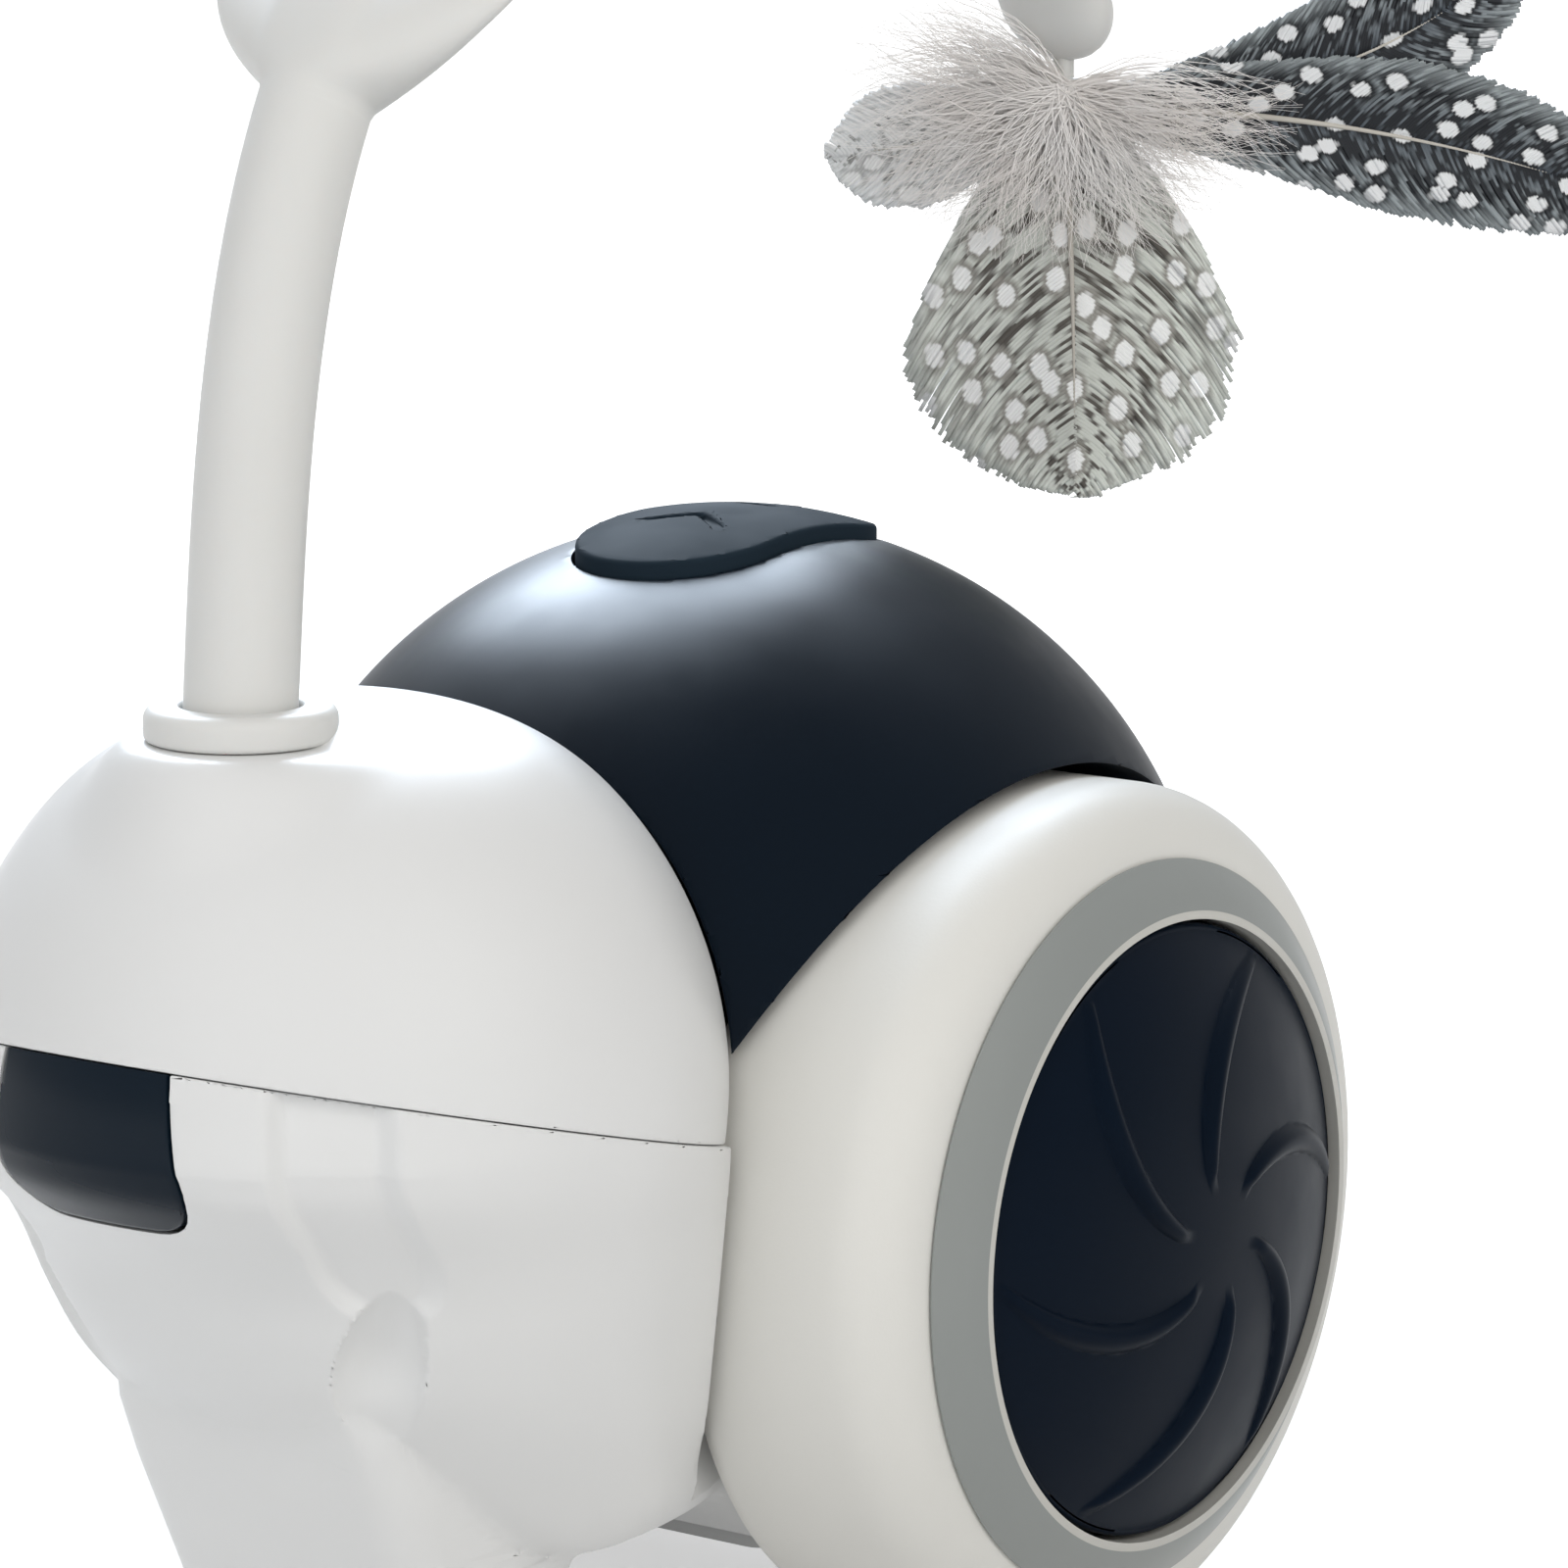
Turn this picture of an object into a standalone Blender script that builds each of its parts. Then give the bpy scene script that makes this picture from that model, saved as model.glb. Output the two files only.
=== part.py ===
"""Automatic cat toy: a ball-shaped body on two wheels, a helmet-shaped head on a castor foot,
and a bent leaf arm that dangles feathers over the body.
Lengths are in metres, +Z is up, the face looks along -Y and the wheels turn about X."""

import bpy
import bmesh
from math import asin, atan2, cos, exp, pi, radians, sin, sqrt, tan
from mathutils import Matrix, Vector

mm = 0.001

# Driving dimensions, with heights taken from the floor and places from the wheel axle.
WHEEL_RADIUS = 42 * mm
TYRE_INNER_X = 24.6 * mm
TYRE_WIDTH = 24.8 * mm
BODY_RADIUS = 48.1 * mm
BODY_RISE = 15.6 * mm
HEAD_AHEAD = 60 * mm
HEAD_RISE = 18 * mm
HEAD_RADIUS = 36.2 * mm
HEAD_HALF_HEIGHT = 38.7 * mm
SEAM_TILT = radians(14.4)
SEAM_GAP = 0.3 * mm
SHELL_WALL = 2.2 * mm
FIT_GAP = 0.3 * mm
RUN_GAP = 0.35 * mm
WELL_GAP = 1.3 * mm
OVERRUN = 3 * mm
AXLE_RADIUS = 2 * mm
AXLE_INNER_X = 9.5 * mm
STEM_RADIUS = 5.2 * mm

AXLE_Z = WHEEL_RADIUS
BODY_CENTRE = Vector((0, 0, AXLE_Z + BODY_RISE))
HEAD_CENTRE = Vector((0, -HEAD_AHEAD, AXLE_Z + HEAD_RISE))
WELL_RADIUS = WHEEL_RADIUS + WELL_GAP
WELL_INNER_X = TYRE_INNER_X - WELL_GAP
LINER_X = WELL_INNER_X - SHELL_WALL
SIDES = {"left": -1, "right": 1}
ROUND_STEPS = 32
SMALL_STEPS = 16
WELL_STEPS = 53
INNER_STEPS = 24
SHARP_ANGLE = radians(35)
MERGE_REACH = 0.001 * mm
AXIS_REACH = 0.01 * mm

for item in list(bpy.data.objects):
    bpy.data.objects.remove(item, do_unlink=True)

parts = bpy.data.collections.new("automatic_cat_toy")
cutters = bpy.data.collections.new("cutters")
bpy.context.scene.collection.children.link(parts)
bpy.context.scene.collection.children.link(cutters)


def linear(channel):
    """One sRGB channel, 0 to 1, as linear light."""
    return channel / 12.92 if channel <= 0.04045 else ((channel + 0.055) / 1.055) ** 2.4


def finish(name, hex_colour, roughness, metallic=0):
    """A plain material of one colour."""
    material = bpy.data.materials.new(name)
    material.use_nodes = True
    shader = material.node_tree.nodes["Principled BSDF"]
    channels = [linear(int(hex_colour[place:place + 2], 16) / 255) for place in (0, 2, 4)]
    shader.inputs["Base Color"].default_value = (*channels, 1)
    shader.inputs["Roughness"].default_value = roughness
    shader.inputs["Metallic"].default_value = metallic
    return material


FINISHES = {
    "white_shell": finish("white_shell", "E6E6E4", 0.35),
    "dark_shell": finish("dark_shell", "0C1420", 0.35),
    "dark_window": finish("dark_window", "0E1824", 0.15),
    "button_rubber": finish("button_rubber", "3A444E", 0.5),
    "white_silicone": finish("white_silicone", "E4E4E0", 0.5),
    "tyre_rubber": finish("tyre_rubber", "E2E2DC", 0.6),
    "grey_trim": finish("grey_trim", "9FA4A2", 0.45),
    "hub_plastic": finish("hub_plastic", "0E161E", 0.45),
    "steel": finish("steel", "B8BCC0", 0.3, 1),
    "gear_nylon": finish("gear_nylon", "DCD6C4", 0.5),
    "frame_plastic": finish("frame_plastic", "2A2C2E", 0.5),
    "board_green": finish("board_green", "1E5A34", 0.5),
    "cell_blue": finish("cell_blue", "2B5FA8", 0.4),
    "lamp_clear": finish("lamp_clear", "2A2430", 0.1),
    "feather_grey": finish("feather_grey", "B9B9B4", 0.8),
    "feather_dark": finish("feather_dark", "232A34", 0.8),
    "down_white": finish("down_white", "E8E4E2", 0.9),
}


def place_mesh(name, mesh, material=None):
    """Put a mesh in the scene: a part when it has a material, and otherwise a hidden cutter."""
    thing = bpy.data.objects.new(name, mesh)
    if material:
        parts.objects.link(thing)
        mesh.materials.clear()
        mesh.materials.append(FINISHES[material])
        mesh.shade_smooth()
        mesh.set_sharp_from_angle(angle=SHARP_ANGLE)
    else:
        cutters.objects.link(thing)
        thing.hide_render = True
        thing.display_type = "WIRE"
    return thing


def boolean(thing, other, operation="DIFFERENCE"):
    """Cut, join or keep what two shapes share."""
    step = thing.modifiers.new(operation.lower() + "_" + other.name, "BOOLEAN")
    step.operation = operation
    step.object = other
    step.solver = "EXACT"
    return thing


def cut(thing, *others):
    for other in others:
        boolean(thing, other)
    return thing


def join(thing, *others):
    for other in others:
        boolean(thing, other, "UNION")
    return thing


def from_bmesh(name, shape, material=None):
    mesh = bpy.data.meshes.new(name)
    shape.to_mesh(mesh)
    shape.free()
    return place_mesh(name, mesh, material)


def block(name, low, high, material=None, edge=0):
    """A box between two corners, with its edges rounded off by edge."""
    size = Vector(high) - Vector(low)
    middle = (Vector(high) + Vector(low)) / 2
    shape = bmesh.new()
    bmesh.ops.create_cube(shape, size=1, matrix=Matrix.Diagonal((*size, 1)))
    thing = from_bmesh(name, shape, material)
    thing.location = middle
    if edge:
        rounding = thing.modifiers.new("edges", "BEVEL")
        rounding.width = edge
        rounding.segments = 2
    return thing


def ball(name, centre, radii, material=None, steps=ROUND_STEPS, turn=None):
    """An ellipsoid with its poles up and down."""
    shape = bmesh.new()
    scale = Matrix.Diagonal((*radii, 1))
    bmesh.ops.create_uvsphere(shape, u_segments=steps, v_segments=steps // 2, radius=1, matrix=scale)
    thing = from_bmesh(name, shape, material)
    thing.location = centre
    if turn:
        thing.rotation_euler = turn
    return thing


def rod(name, start, end, radius, material=None, steps=SMALL_STEPS, end_radius=None):
    """A round bar, or a cone where the ends differ, between two points."""
    start = Vector(start)
    end = Vector(end)
    along = end - start
    last = radius if end_radius is None else end_radius
    shape = bmesh.new()
    bmesh.ops.create_cone(shape, cap_ends=True, segments=steps, radius1=radius, radius2=last, depth=along.length)
    thing = from_bmesh(name, shape, material)
    thing.location = (start + end) / 2
    thing.rotation_euler = along.to_track_quat("Z", "Y").to_euler()
    return thing


def turned(name, profile, material=None, steps=ROUND_STEPS, ring=True):
    """Turn a profile of (radius, height) points round local Z. A ring's profile closes on itself."""
    mesh = bpy.data.meshes.new(name)
    count = len(profile)
    edges = [(place, (place + 1) % count) for place in range(count if ring else count - 1)]
    mesh.from_pydata([(radius, 0, height) for radius, height in profile], edges, [])
    thing = place_mesh(name, mesh, material)
    spin = thing.modifiers.new("turn", "SCREW")
    spin.axis = "Z"
    spin.steps = steps
    spin.render_steps = steps
    spin.use_merge_vertices = True
    spin.merge_threshold = AXIS_REACH
    spin.use_smooth_shade = True
    return thing


def outline(name, loops, thickness, material=None):
    """A flat shape with holes, filled and given a thickness about its own middle plane."""
    flat = bpy.data.curves.new(name, "CURVE")
    flat.dimensions = "2D"
    flat.fill_mode = "BOTH"
    flat.extrude = thickness / 2
    for loop in loops:
        spline = flat.splines.new("POLY")
        spline.points.add(len(loop) - 1)
        for point, (across, up) in zip(spline.points, loop):
            point.co = (across, up, 0, 1)
        spline.use_cyclic_u = True
    guide = bpy.data.objects.new(name + "_outline", flat)
    cutters.objects.link(guide)
    ready = guide.evaluated_get(bpy.context.evaluated_depsgraph_get())
    mesh = bpy.data.meshes.new_from_object(ready)
    mesh.name = name
    bpy.data.objects.remove(guide, do_unlink=True)
    shape = bmesh.new()
    shape.from_mesh(mesh)
    bmesh.ops.remove_doubles(shape, verts=shape.verts, dist=MERGE_REACH)
    bmesh.ops.recalc_face_normals(shape, faces=shape.faces)
    shape.to_mesh(mesh)
    shape.free()
    return place_mesh(name, mesh, material)


def loft(name, rings, material=None):
    """Skin a row of closed rings that have the same number of points, and cap both ends."""
    shape = bmesh.new()
    rows = [[shape.verts.new(point) for point in ring] for ring in rings]
    count = len(rows[0])
    for low, high in zip(rows, rows[1:]):
        for place in range(count):
            after = (place + 1) % count
            shape.faces.new((low[place], low[after], high[after], high[place]))
    shape.faces.new(list(reversed(rows[0])))
    shape.faces.new(rows[-1])
    bmesh.ops.recalc_face_normals(shape, faces=shape.faces)
    return from_bmesh(name, shape, material)


def circle(radius, steps=SMALL_STEPS, centre=(0, 0)):
    angles = [2 * pi * step / steps for step in range(steps)]
    return [(centre[0] + radius * cos(angle), centre[1] + radius * sin(angle)) for angle in angles]


def rounded_outline(corners, radius, steps=4):
    """A convex outline, listed anticlockwise, with each corner rounded."""
    points = []
    count = len(corners)
    for place in range(count):
        corner = Vector(corners[place])
        before = (Vector(corners[place - 1]) - corner).normalized()
        after = (Vector(corners[(place + 1) % count]) - corner).normalized()
        half_angle = before.angle(after) / 2
        middle = corner + (before + after).normalized() * radius / sin(half_angle)
        reach = radius / tan(half_angle)
        first = corner + before * reach - middle
        last = corner + after * reach - middle
        for step in range(steps + 1):
            share = step / steps
            spoke = first.normalized().slerp(last.normalized(), share) * radius
            points.append(tuple(middle + spoke))
    return points


def seam_height(y):
    """Height of the sloping plane where the covers meet the lower shell."""
    return HEAD_CENTRE.z - tan(SEAM_TILT) * (y - HEAD_CENTRE.y)


def half_space(name, side):
    """A large block above (side 1) or below (side -1) the seam, half a seam gap away from it."""
    reach = 2 * (BODY_RADIUS + HEAD_AHEAD + HEAD_RADIUS)
    thing = block(name, (-reach, -reach, 0), (reach, reach, reach))
    normal = Vector((0, sin(SEAM_TILT), cos(SEAM_TILT)))
    thing.rotation_euler = (-SEAM_TILT, 0, 0)
    thing.location = HEAD_CENTRE + normal * side * (reach / 2 + SEAM_GAP / 2)
    return thing


def wells(name, grow):
    """Both wheel wells as one cutter, grown into the body by grow."""
    radius = WELL_RADIUS + grow
    inner = WELL_INNER_X - grow
    outer = TYRE_INNER_X + TYRE_WIDTH + BODY_RADIUS
    shape = bmesh.new()
    for side in SIDES.values():
        place = Matrix.Translation((side * (inner + outer) / 2, 0, AXLE_Z)) @ Matrix.Rotation(pi / 2, 4, "Y")
        bmesh.ops.create_cone(shape, cap_ends=True, segments=WELL_STEPS, radius1=radius, radius2=radius,
                              depth=outer - inner, matrix=place)
    return from_bmesh(name, shape)


above_seam = half_space("above_seam", 1)
below_seam = half_space("below_seam", -1)
HEAD_STEPS = 20
CROWN_START = 27 * mm
CROWN_DROP = 1.9 * mm
well_cutter = wells("wells", 0)
liner_cutter = wells("liners", SHELL_WALL)


def head_ball(name, grow, material=None, steps=ROUND_STEPS):
    """The head's round form, a little flattened where its top nears the crown."""
    profile = []
    for step in range(HEAD_STEPS + 1):
        angle = pi / 2 - pi * step / HEAD_STEPS
        height = (HEAD_HALF_HEIGHT + grow) * sin(angle)
        crown = max(0, height - CROWN_START) / (HEAD_HALF_HEIGHT + grow - CROWN_START)
        profile.append(((HEAD_RADIUS + grow) * cos(angle), height - CROWN_DROP * crown ** 2))
    profile[0] = (0, profile[0][1])
    profile[-1] = (0, profile[-1][1])
    thing = turned(name, profile, material, steps, ring=False)
    thing.location = HEAD_CENTRE
    return thing


def body_ball(name, grow, material=None, steps=ROUND_STEPS):
    return ball(name, BODY_CENTRE, (BODY_RADIUS + grow,) * 3, material, steps)


# Upper cover: the dark dome, hollow, with arches over both wheels, an opening for the button,
# four pillars for the main board and a slot for the charging socket.
PAD_HALF_WIDTH = 10.5 * mm
PAD_HALF_LENGTH = 17.6 * mm
PAD_PROUD = 1.3 * mm
PAD_DEPTH = 3.6 * mm
PAD_TRAVEL = 0.8 * mm
PAD_FLANGE = 1.4 * mm
BOARD_DROP = 19.7 * mm
BOARD_THICKNESS = 1.6 * mm
BOARD_HALF_WIDTH = 18 * mm
BOARD_HALF_LENGTH = 23 * mm
PILLAR_RADIUS = 2.6 * mm
PILLAR_INSET = 3.4 * mm
SOCKET_DROP = 5.6 * mm
SOCKET_WIDTH = 9 * mm
SOCKET_HEIGHT = 3.2 * mm
SOCKET_DEPTH = 7 * mm
dome_top = BODY_CENTRE.z + BODY_RADIUS
board_z = dome_top - BOARD_DROP
board_top = board_z + BOARD_THICKNESS
socket_z = BODY_CENTRE.z - SOCKET_DROP
PILLARS = [(across * (BOARD_HALF_WIDTH - PILLAR_INSET), along * (BOARD_HALF_LENGTH - PILLAR_INSET))
           for across in (-1, 1) for along in (-1, 1)]


def pad_loop(grow):
    """The button's outline from above: a long round-ended pad."""
    radius = PAD_HALF_WIDTH + grow
    straight = PAD_HALF_LENGTH - PAD_HALF_WIDTH
    points = []
    for end, first in ((1, 0), (-1, pi)):
        for step in range(SMALL_STEPS // 2 + 1):
            angle = first + pi * step / (SMALL_STEPS // 2)
            points.append((radius * cos(angle), end * straight + radius * sin(angle)))
    return points


def pad_prism(name, grow, low, high):
    """An upright prism of the button's outline between two heights."""
    thing = outline(name, [pad_loop(grow)], high - low)
    thing.location = (0, 0, (low + high) / 2)
    return thing


dome_room = body_ball("dome_room", -SHELL_WALL)
cut(dome_room, liner_cutter)
for number, (x, y) in enumerate(PILLARS):
    pillar = rod(f"board_pillar_{number}", (x, y, board_top + FIT_GAP), (x, y, dome_top), PILLAR_RADIUS,
                 steps=SMALL_STEPS // 2)
    cut(dome_room, pillar)
upper_cover = body_ball("upper_cover", 0, "dark_shell")
boolean(upper_cover, above_seam, "INTERSECT")
cut(upper_cover, well_cutter, dome_room, head_ball("head_seat", FIT_GAP))
cut(upper_cover, pad_prism("pad_opening", RUN_GAP, board_top, dome_top + OVERRUN))
rear_y = sqrt(BODY_RADIUS ** 2 - (socket_z - BODY_CENTRE.z) ** 2)
cut(upper_cover, block(
    "socket_slot",
    (-SOCKET_WIDTH / 2 - FIT_GAP, rear_y - SOCKET_DEPTH, socket_z - SOCKET_HEIGHT / 2 - FIT_GAP),
    (SOCKET_WIDTH / 2 + FIT_GAP, rear_y + OVERRUN, socket_z + SOCKET_HEIGHT / 2 + FIT_GAP)))

# Head cover: the white helmet. Its rim laps inside the dome, and a flat seat carries the arm's collar.
HEAD_LAP = 4.5 * mm
COLLAR_BEFORE_HEAD = 12.6 * mm
COLLAR_TOP = 97.6 * mm
COLLAR_RADIUS = 8.8 * mm
COLLAR_FLANGE = 3.2 * mm
COLLAR_NECK_RADIUS = 7.2 * mm
SEAT_RADIUS = 9.4 * mm
SEAT_DEPTH = 6.5 * mm
seat_top = COLLAR_TOP - COLLAR_FLANGE - FIT_GAP
collar_y = HEAD_CENTRE.y - COLLAR_BEFORE_HEAD

head_room = head_ball("head_room", -SHELL_WALL, steps=INNER_STEPS)
cut(head_room, liner_cutter)
cut(head_room, rod("collar_seat_boss", (0, collar_y, seat_top - SEAT_DEPTH), (0, collar_y, COLLAR_TOP + OVERRUN),
                   SEAT_RADIUS - FIT_GAP))
head_cover = head_ball("head_cover", 0, "white_shell")
boolean(head_cover, above_seam, "INTERSECT")
join(head_cover, rod("collar_seat", (0, collar_y, seat_top - SEAT_DEPTH), (0, collar_y, COLLAR_TOP), SEAT_RADIUS))
cut(head_cover, well_cutter, head_room, body_ball("lap_cut", -HEAD_LAP))
cut(head_cover, rod("collar_flat", (0, collar_y, seat_top), (0, collar_y, COLLAR_TOP + OVERRUN),
                    SEAT_RADIUS + FIT_GAP))
cut(head_cover, rod("collar_hole", (0, collar_y, seat_top - SEAT_DEPTH - OVERRUN), (0, collar_y, COLLAR_TOP),
                    COLLAR_NECK_RADIUS + FIT_GAP))

# Lower shell: one white moulding of the cheeks, the belly bowl, the axle drum and the castor foot.
BOWL_BOTTOM = 13 * mm
BOWL_TOP = 72 * mm
DRUM_RADIUS = 36.5 * mm
DRUM_EDGE = 5 * mm
FOOT_TOP = 46 * mm
FOOT_BOTTOM = 3.4 * mm
FOOT_HALF_WIDTH = 17 * mm
FOOT_TAPER_SHARE = 0.1
FOOT_BEFORE_HEAD = 3.5 * mm
FOOT_LENGTH = 20.5 * mm
FOOT_TOP_LEAN = 17.4 * mm
FOOT_CORNER = 4 * mm
FOOT_WALL = 2 * mm
foot_front = HEAD_AHEAD + FOOT_BEFORE_HEAD
foot_back = foot_front - FOOT_LENGTH

# Each bowl section: height share from bottom to the head's middle, then the half width, middle,
# front and back as shares of the head's radius. The first stands at the head's middle.
BOWL_SHARES = [
    (1.000, 1.000, 0.000, 1.000, 1.000),
    (0.934, 0.996, 0.020, 0.980, 1.004),
    (0.868, 0.982, 0.045, 0.925, 1.015),
    (0.800, 0.960, 0.075, 0.865, 1.035),
    (0.710, 0.935, 0.115, 0.815, 1.060),
    (0.600, 0.905, 0.165, 0.800, 1.085),
    (0.480, 0.865, 0.225, 0.770, 1.105),
    (0.360, 0.815, 0.290, 0.680, 1.110),
    (0.240, 0.740, 0.365, 0.590, 1.085),
    (0.140, 0.670, 0.430, 0.500, 1.010),
    (0.065, 0.560, 0.470, 0.400, 0.860),
    (0.018, 0.380, 0.500, 0.280, 0.600),
    (0.000, 0.120, 0.520, 0.090, 0.200),
]


def bowl_ring(steps, z, half_width, middle_y, front, back):
    """One level section: two half ellipses that meet at the widest place."""
    ring = []
    for step in range(steps):
        angle = 2 * pi * step / steps
        length = front if cos(angle) > 0 else back
        ring.append((half_width * sin(angle), middle_y - length * cos(angle), z))
    return ring


def bowl_section(z):
    """Half width, middle, front and back of the bowl's level section at a height under the head's middle."""
    share = (z - BOWL_BOTTOM) / (HEAD_CENTRE.z - BOWL_BOTTOM)
    for upper, lower in zip(BOWL_SHARES, BOWL_SHARES[1:]):
        if share >= lower[0]:
            weight = (share - lower[0]) / (upper[0] - lower[0])
            width, shift, front, back = (low + weight * (high - low) for high, low in zip(upper[1:], lower[1:]))
            return (width * HEAD_RADIUS, HEAD_CENTRE.y + shift * HEAD_RADIUS, front * HEAD_RADIUS,
                    back * HEAD_RADIUS)
    return None


def cheek_point(side, z, angle):
    """A point on the front of the bowl, angle being the ellipse's own from straight ahead."""
    half_width, middle_y, front, _ = bowl_section(z)
    return Vector((side * half_width * sin(angle), middle_y - front * cos(angle), z))


def bowl(name, inset, steps=ROUND_STEPS, material=None):
    """The cheeks and belly, drawn in by inset. Above the head's middle they follow the head."""
    rings = []
    for share in (1.0, 0.5):
        z = HEAD_CENTRE.z + share * (BOWL_TOP - HEAD_CENTRE.z)
        height = HEAD_HALF_HEIGHT - inset
        radius = (HEAD_RADIUS - inset) * sqrt(1 - ((z - HEAD_CENTRE.z) / height) ** 2)
        rings.append(bowl_ring(steps, z, radius, HEAD_CENTRE.y, radius, radius))
    drop = HEAD_CENTRE.z - BOWL_BOTTOM - inset
    for height, width, shift, front, back in BOWL_SHARES:
        if width * HEAD_RADIUS > inset + FIT_GAP and front * HEAD_RADIUS > inset + FIT_GAP:
            rings.append(bowl_ring(
                steps,
                BOWL_BOTTOM + inset + height * drop,
                width * HEAD_RADIUS - inset,
                HEAD_CENTRE.y + shift * HEAD_RADIUS,
                front * HEAD_RADIUS - inset,
                back * HEAD_RADIUS - inset))
    return loft(name, rings, material)


def drum(name, inset):
    """The round part of the shell about the axle, between the wheels."""
    half = WELL_INNER_X - FIT_GAP - inset
    radius = DRUM_RADIUS - inset
    thing = rod(name, (-half, 0, AXLE_Z), (half, 0, AXLE_Z), radius, steps=ROUND_STEPS)
    if not inset:
        rounding = thing.modifiers.new("edges", "BEVEL")
        rounding.width = DRUM_EDGE
        rounding.segments = 3
        rounding.limit_method = "ANGLE"
    return thing


def foot_ring(z, inset):
    """A level section of the castor foot, which leans forward as it rises."""
    share = (z - FOOT_BOTTOM) / (FOOT_TOP - FOOT_BOTTOM)
    half_width = FOOT_HALF_WIDTH * (1 - FOOT_TAPER_SHARE * max(0, 1 - 2 * share)) - inset
    front = -(foot_front + FOOT_TOP_LEAN * share) + inset
    back = -foot_back - inset
    corners = [(-half_width, front), (half_width, front), (half_width, back), (-half_width, back)]
    return [(x, y, z) for x, y in rounded_outline(corners, FOOT_CORNER - inset, 3)]


FOOT_HEIGHT_SHARES = (0, 0.12, 0.3, 0.5, 0.7, 0.85, 1)


def foot(name, inset, bottom):
    levels = [bottom + share * (FOOT_TOP - bottom) for share in FOOT_HEIGHT_SHARES]
    return loft(name, [foot_ring(z, inset) for z in levels])


# Castor ball and its cup under the foot.
CASTOR_RADIUS = 6.5 * mm
CASTOR_BEHIND = 10.2 * mm
CUP_RADIUS = 8.4 * mm
CUP_LIP = 1.2 * mm
CUP_HEIGHT = 12.6 * mm
CUP_DOME_STEPS = 6
CASTOR_GAP = 0.5 * mm
castor_y = -foot_front + CASTOR_BEHIND
castor_centre = Vector((0, castor_y, CASTOR_RADIUS))
cup_bottom = FOOT_BOTTOM - CUP_LIP
foot_floor = cup_bottom + CUP_HEIGHT + FIT_GAP

# Service cover: a flat plate screwed under the axle drum, and the face that the toy can be fixed by.
COVER_HALF_WIDTH = 12 * mm
COVER_HALF_LENGTH = 10 * mm
COVER_THICKNESS = 2 * mm
COVER_WALL = 2 * mm
COVER_CORNER = 2.5 * mm
SCREW_INSET = 3.2 * mm
SCREW_HEAD_RADIUS = 1.7 * mm
SCREW_HEAD_HEIGHT = 0.9 * mm
SCREW_SHANK_RADIUS = 0.8 * mm
SCREW_LENGTH = 5 * mm
cover_low = AXLE_Z - DRUM_RADIUS
cover_high = cover_low + COVER_THICKNESS
SCREWS = [(across * (COVER_HALF_WIDTH - SCREW_INSET), along * (COVER_HALF_LENGTH - SCREW_INSET))
          for across in (-1, 1) for along in (-1, 1)]


def cover_loop(grow):
    width = COVER_HALF_WIDTH + grow
    length = COVER_HALF_LENGTH + grow
    return rounded_outline([(-width, -length), (width, -length), (width, length), (-width, length)],
                           COVER_CORNER + grow)


def cover_prism(name, grow, low, high, material=None):
    thing = outline(name, [cover_loop(grow)], high - low, material)
    thing.location = (0, 0, (low + high) / 2)
    return thing


# Visor: a dark window wrapped round the front under the seam, narrower at its top.
VISOR_TOP_HALF = 10.1 * mm
VISOR_LOW_HALF = 12.1 * mm
VISOR_BOTTOM = 53.4 * mm
VISOR_CORNER = 2.6 * mm
VISOR_THICKNESS = 1.7 * mm
VISOR_REACH = 9.3 * mm
visor_top = BOWL_TOP + OVERRUN
visor_rim = seam_height(HEAD_CENTRE.y - HEAD_RADIUS)


def visor_loop(grow):
    slope = (VISOR_LOW_HALF - VISOR_TOP_HALF) / (visor_rim - VISOR_BOTTOM)
    top_half = VISOR_LOW_HALF - slope * (visor_top - VISOR_BOTTOM) + grow
    low_half = VISOR_LOW_HALF + grow
    low = VISOR_BOTTOM - grow
    corners = [(-low_half, low), (low_half, low), (top_half, visor_top), (-top_half, visor_top)]
    return rounded_outline(corners, VISOR_CORNER + grow, 3)


def visor_prism(name, grow, material=None):
    """The window's outline swept back from in front of the face."""
    thing = outline(name, [visor_loop(grow)], VISOR_REACH + OVERRUN, material)
    thing.rotation_euler = (pi / 2, 0, 0)
    thing.location = (0, HEAD_CENTRE.y - HEAD_RADIUS + (VISOR_REACH - OVERRUN) / 2, 0)
    return thing


# Cheek marks: a shallow upright groove and a deeper thumb-shaped hollow on each side of the face.
GROOVE_TURN = radians(39.5)
GROOVE_WIDTH = 11 * mm
GROOVE_DEPTH = 0.9 * mm
GROOVE_LOW = 44.6 * mm
GROOVE_CORNER_SHARE = 0.49
GROOVE_REACH = 27 * mm
HOLLOW_TURN = radians(36)
HOLLOW_Z = 40.2 * mm
HOLLOW_LEAN = radians(0.64)
HOLLOW_HALF_WIDTH = 4 * mm
HOLLOW_HALF_HEIGHT = 11 * mm
HOLLOW_DEPTH = 3.2 * mm
groove_floor = bowl("groove_floor", GROOVE_DEPTH)


def groove(side):
    """An upright round-ended cutter that goes as deep as the groove floor all over."""
    half = GROOVE_WIDTH / 2
    corners = [(-half, GROOVE_LOW), (half, GROOVE_LOW), (half, visor_top), (-half, visor_top)]
    loop = rounded_outline(corners, GROOVE_WIDTH * GROOVE_CORNER_SHARE)
    thing = outline(f"groove_{side}", [loop], GROOVE_REACH)
    thing.rotation_euler = (pi / 2, 0, side * GROOVE_TURN)
    thing.location = (side * GROOVE_REACH * sin(GROOVE_TURN), HEAD_CENTRE.y - GROOVE_REACH * cos(GROOVE_TURN), 0)
    return cut(thing, groove_floor)


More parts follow.
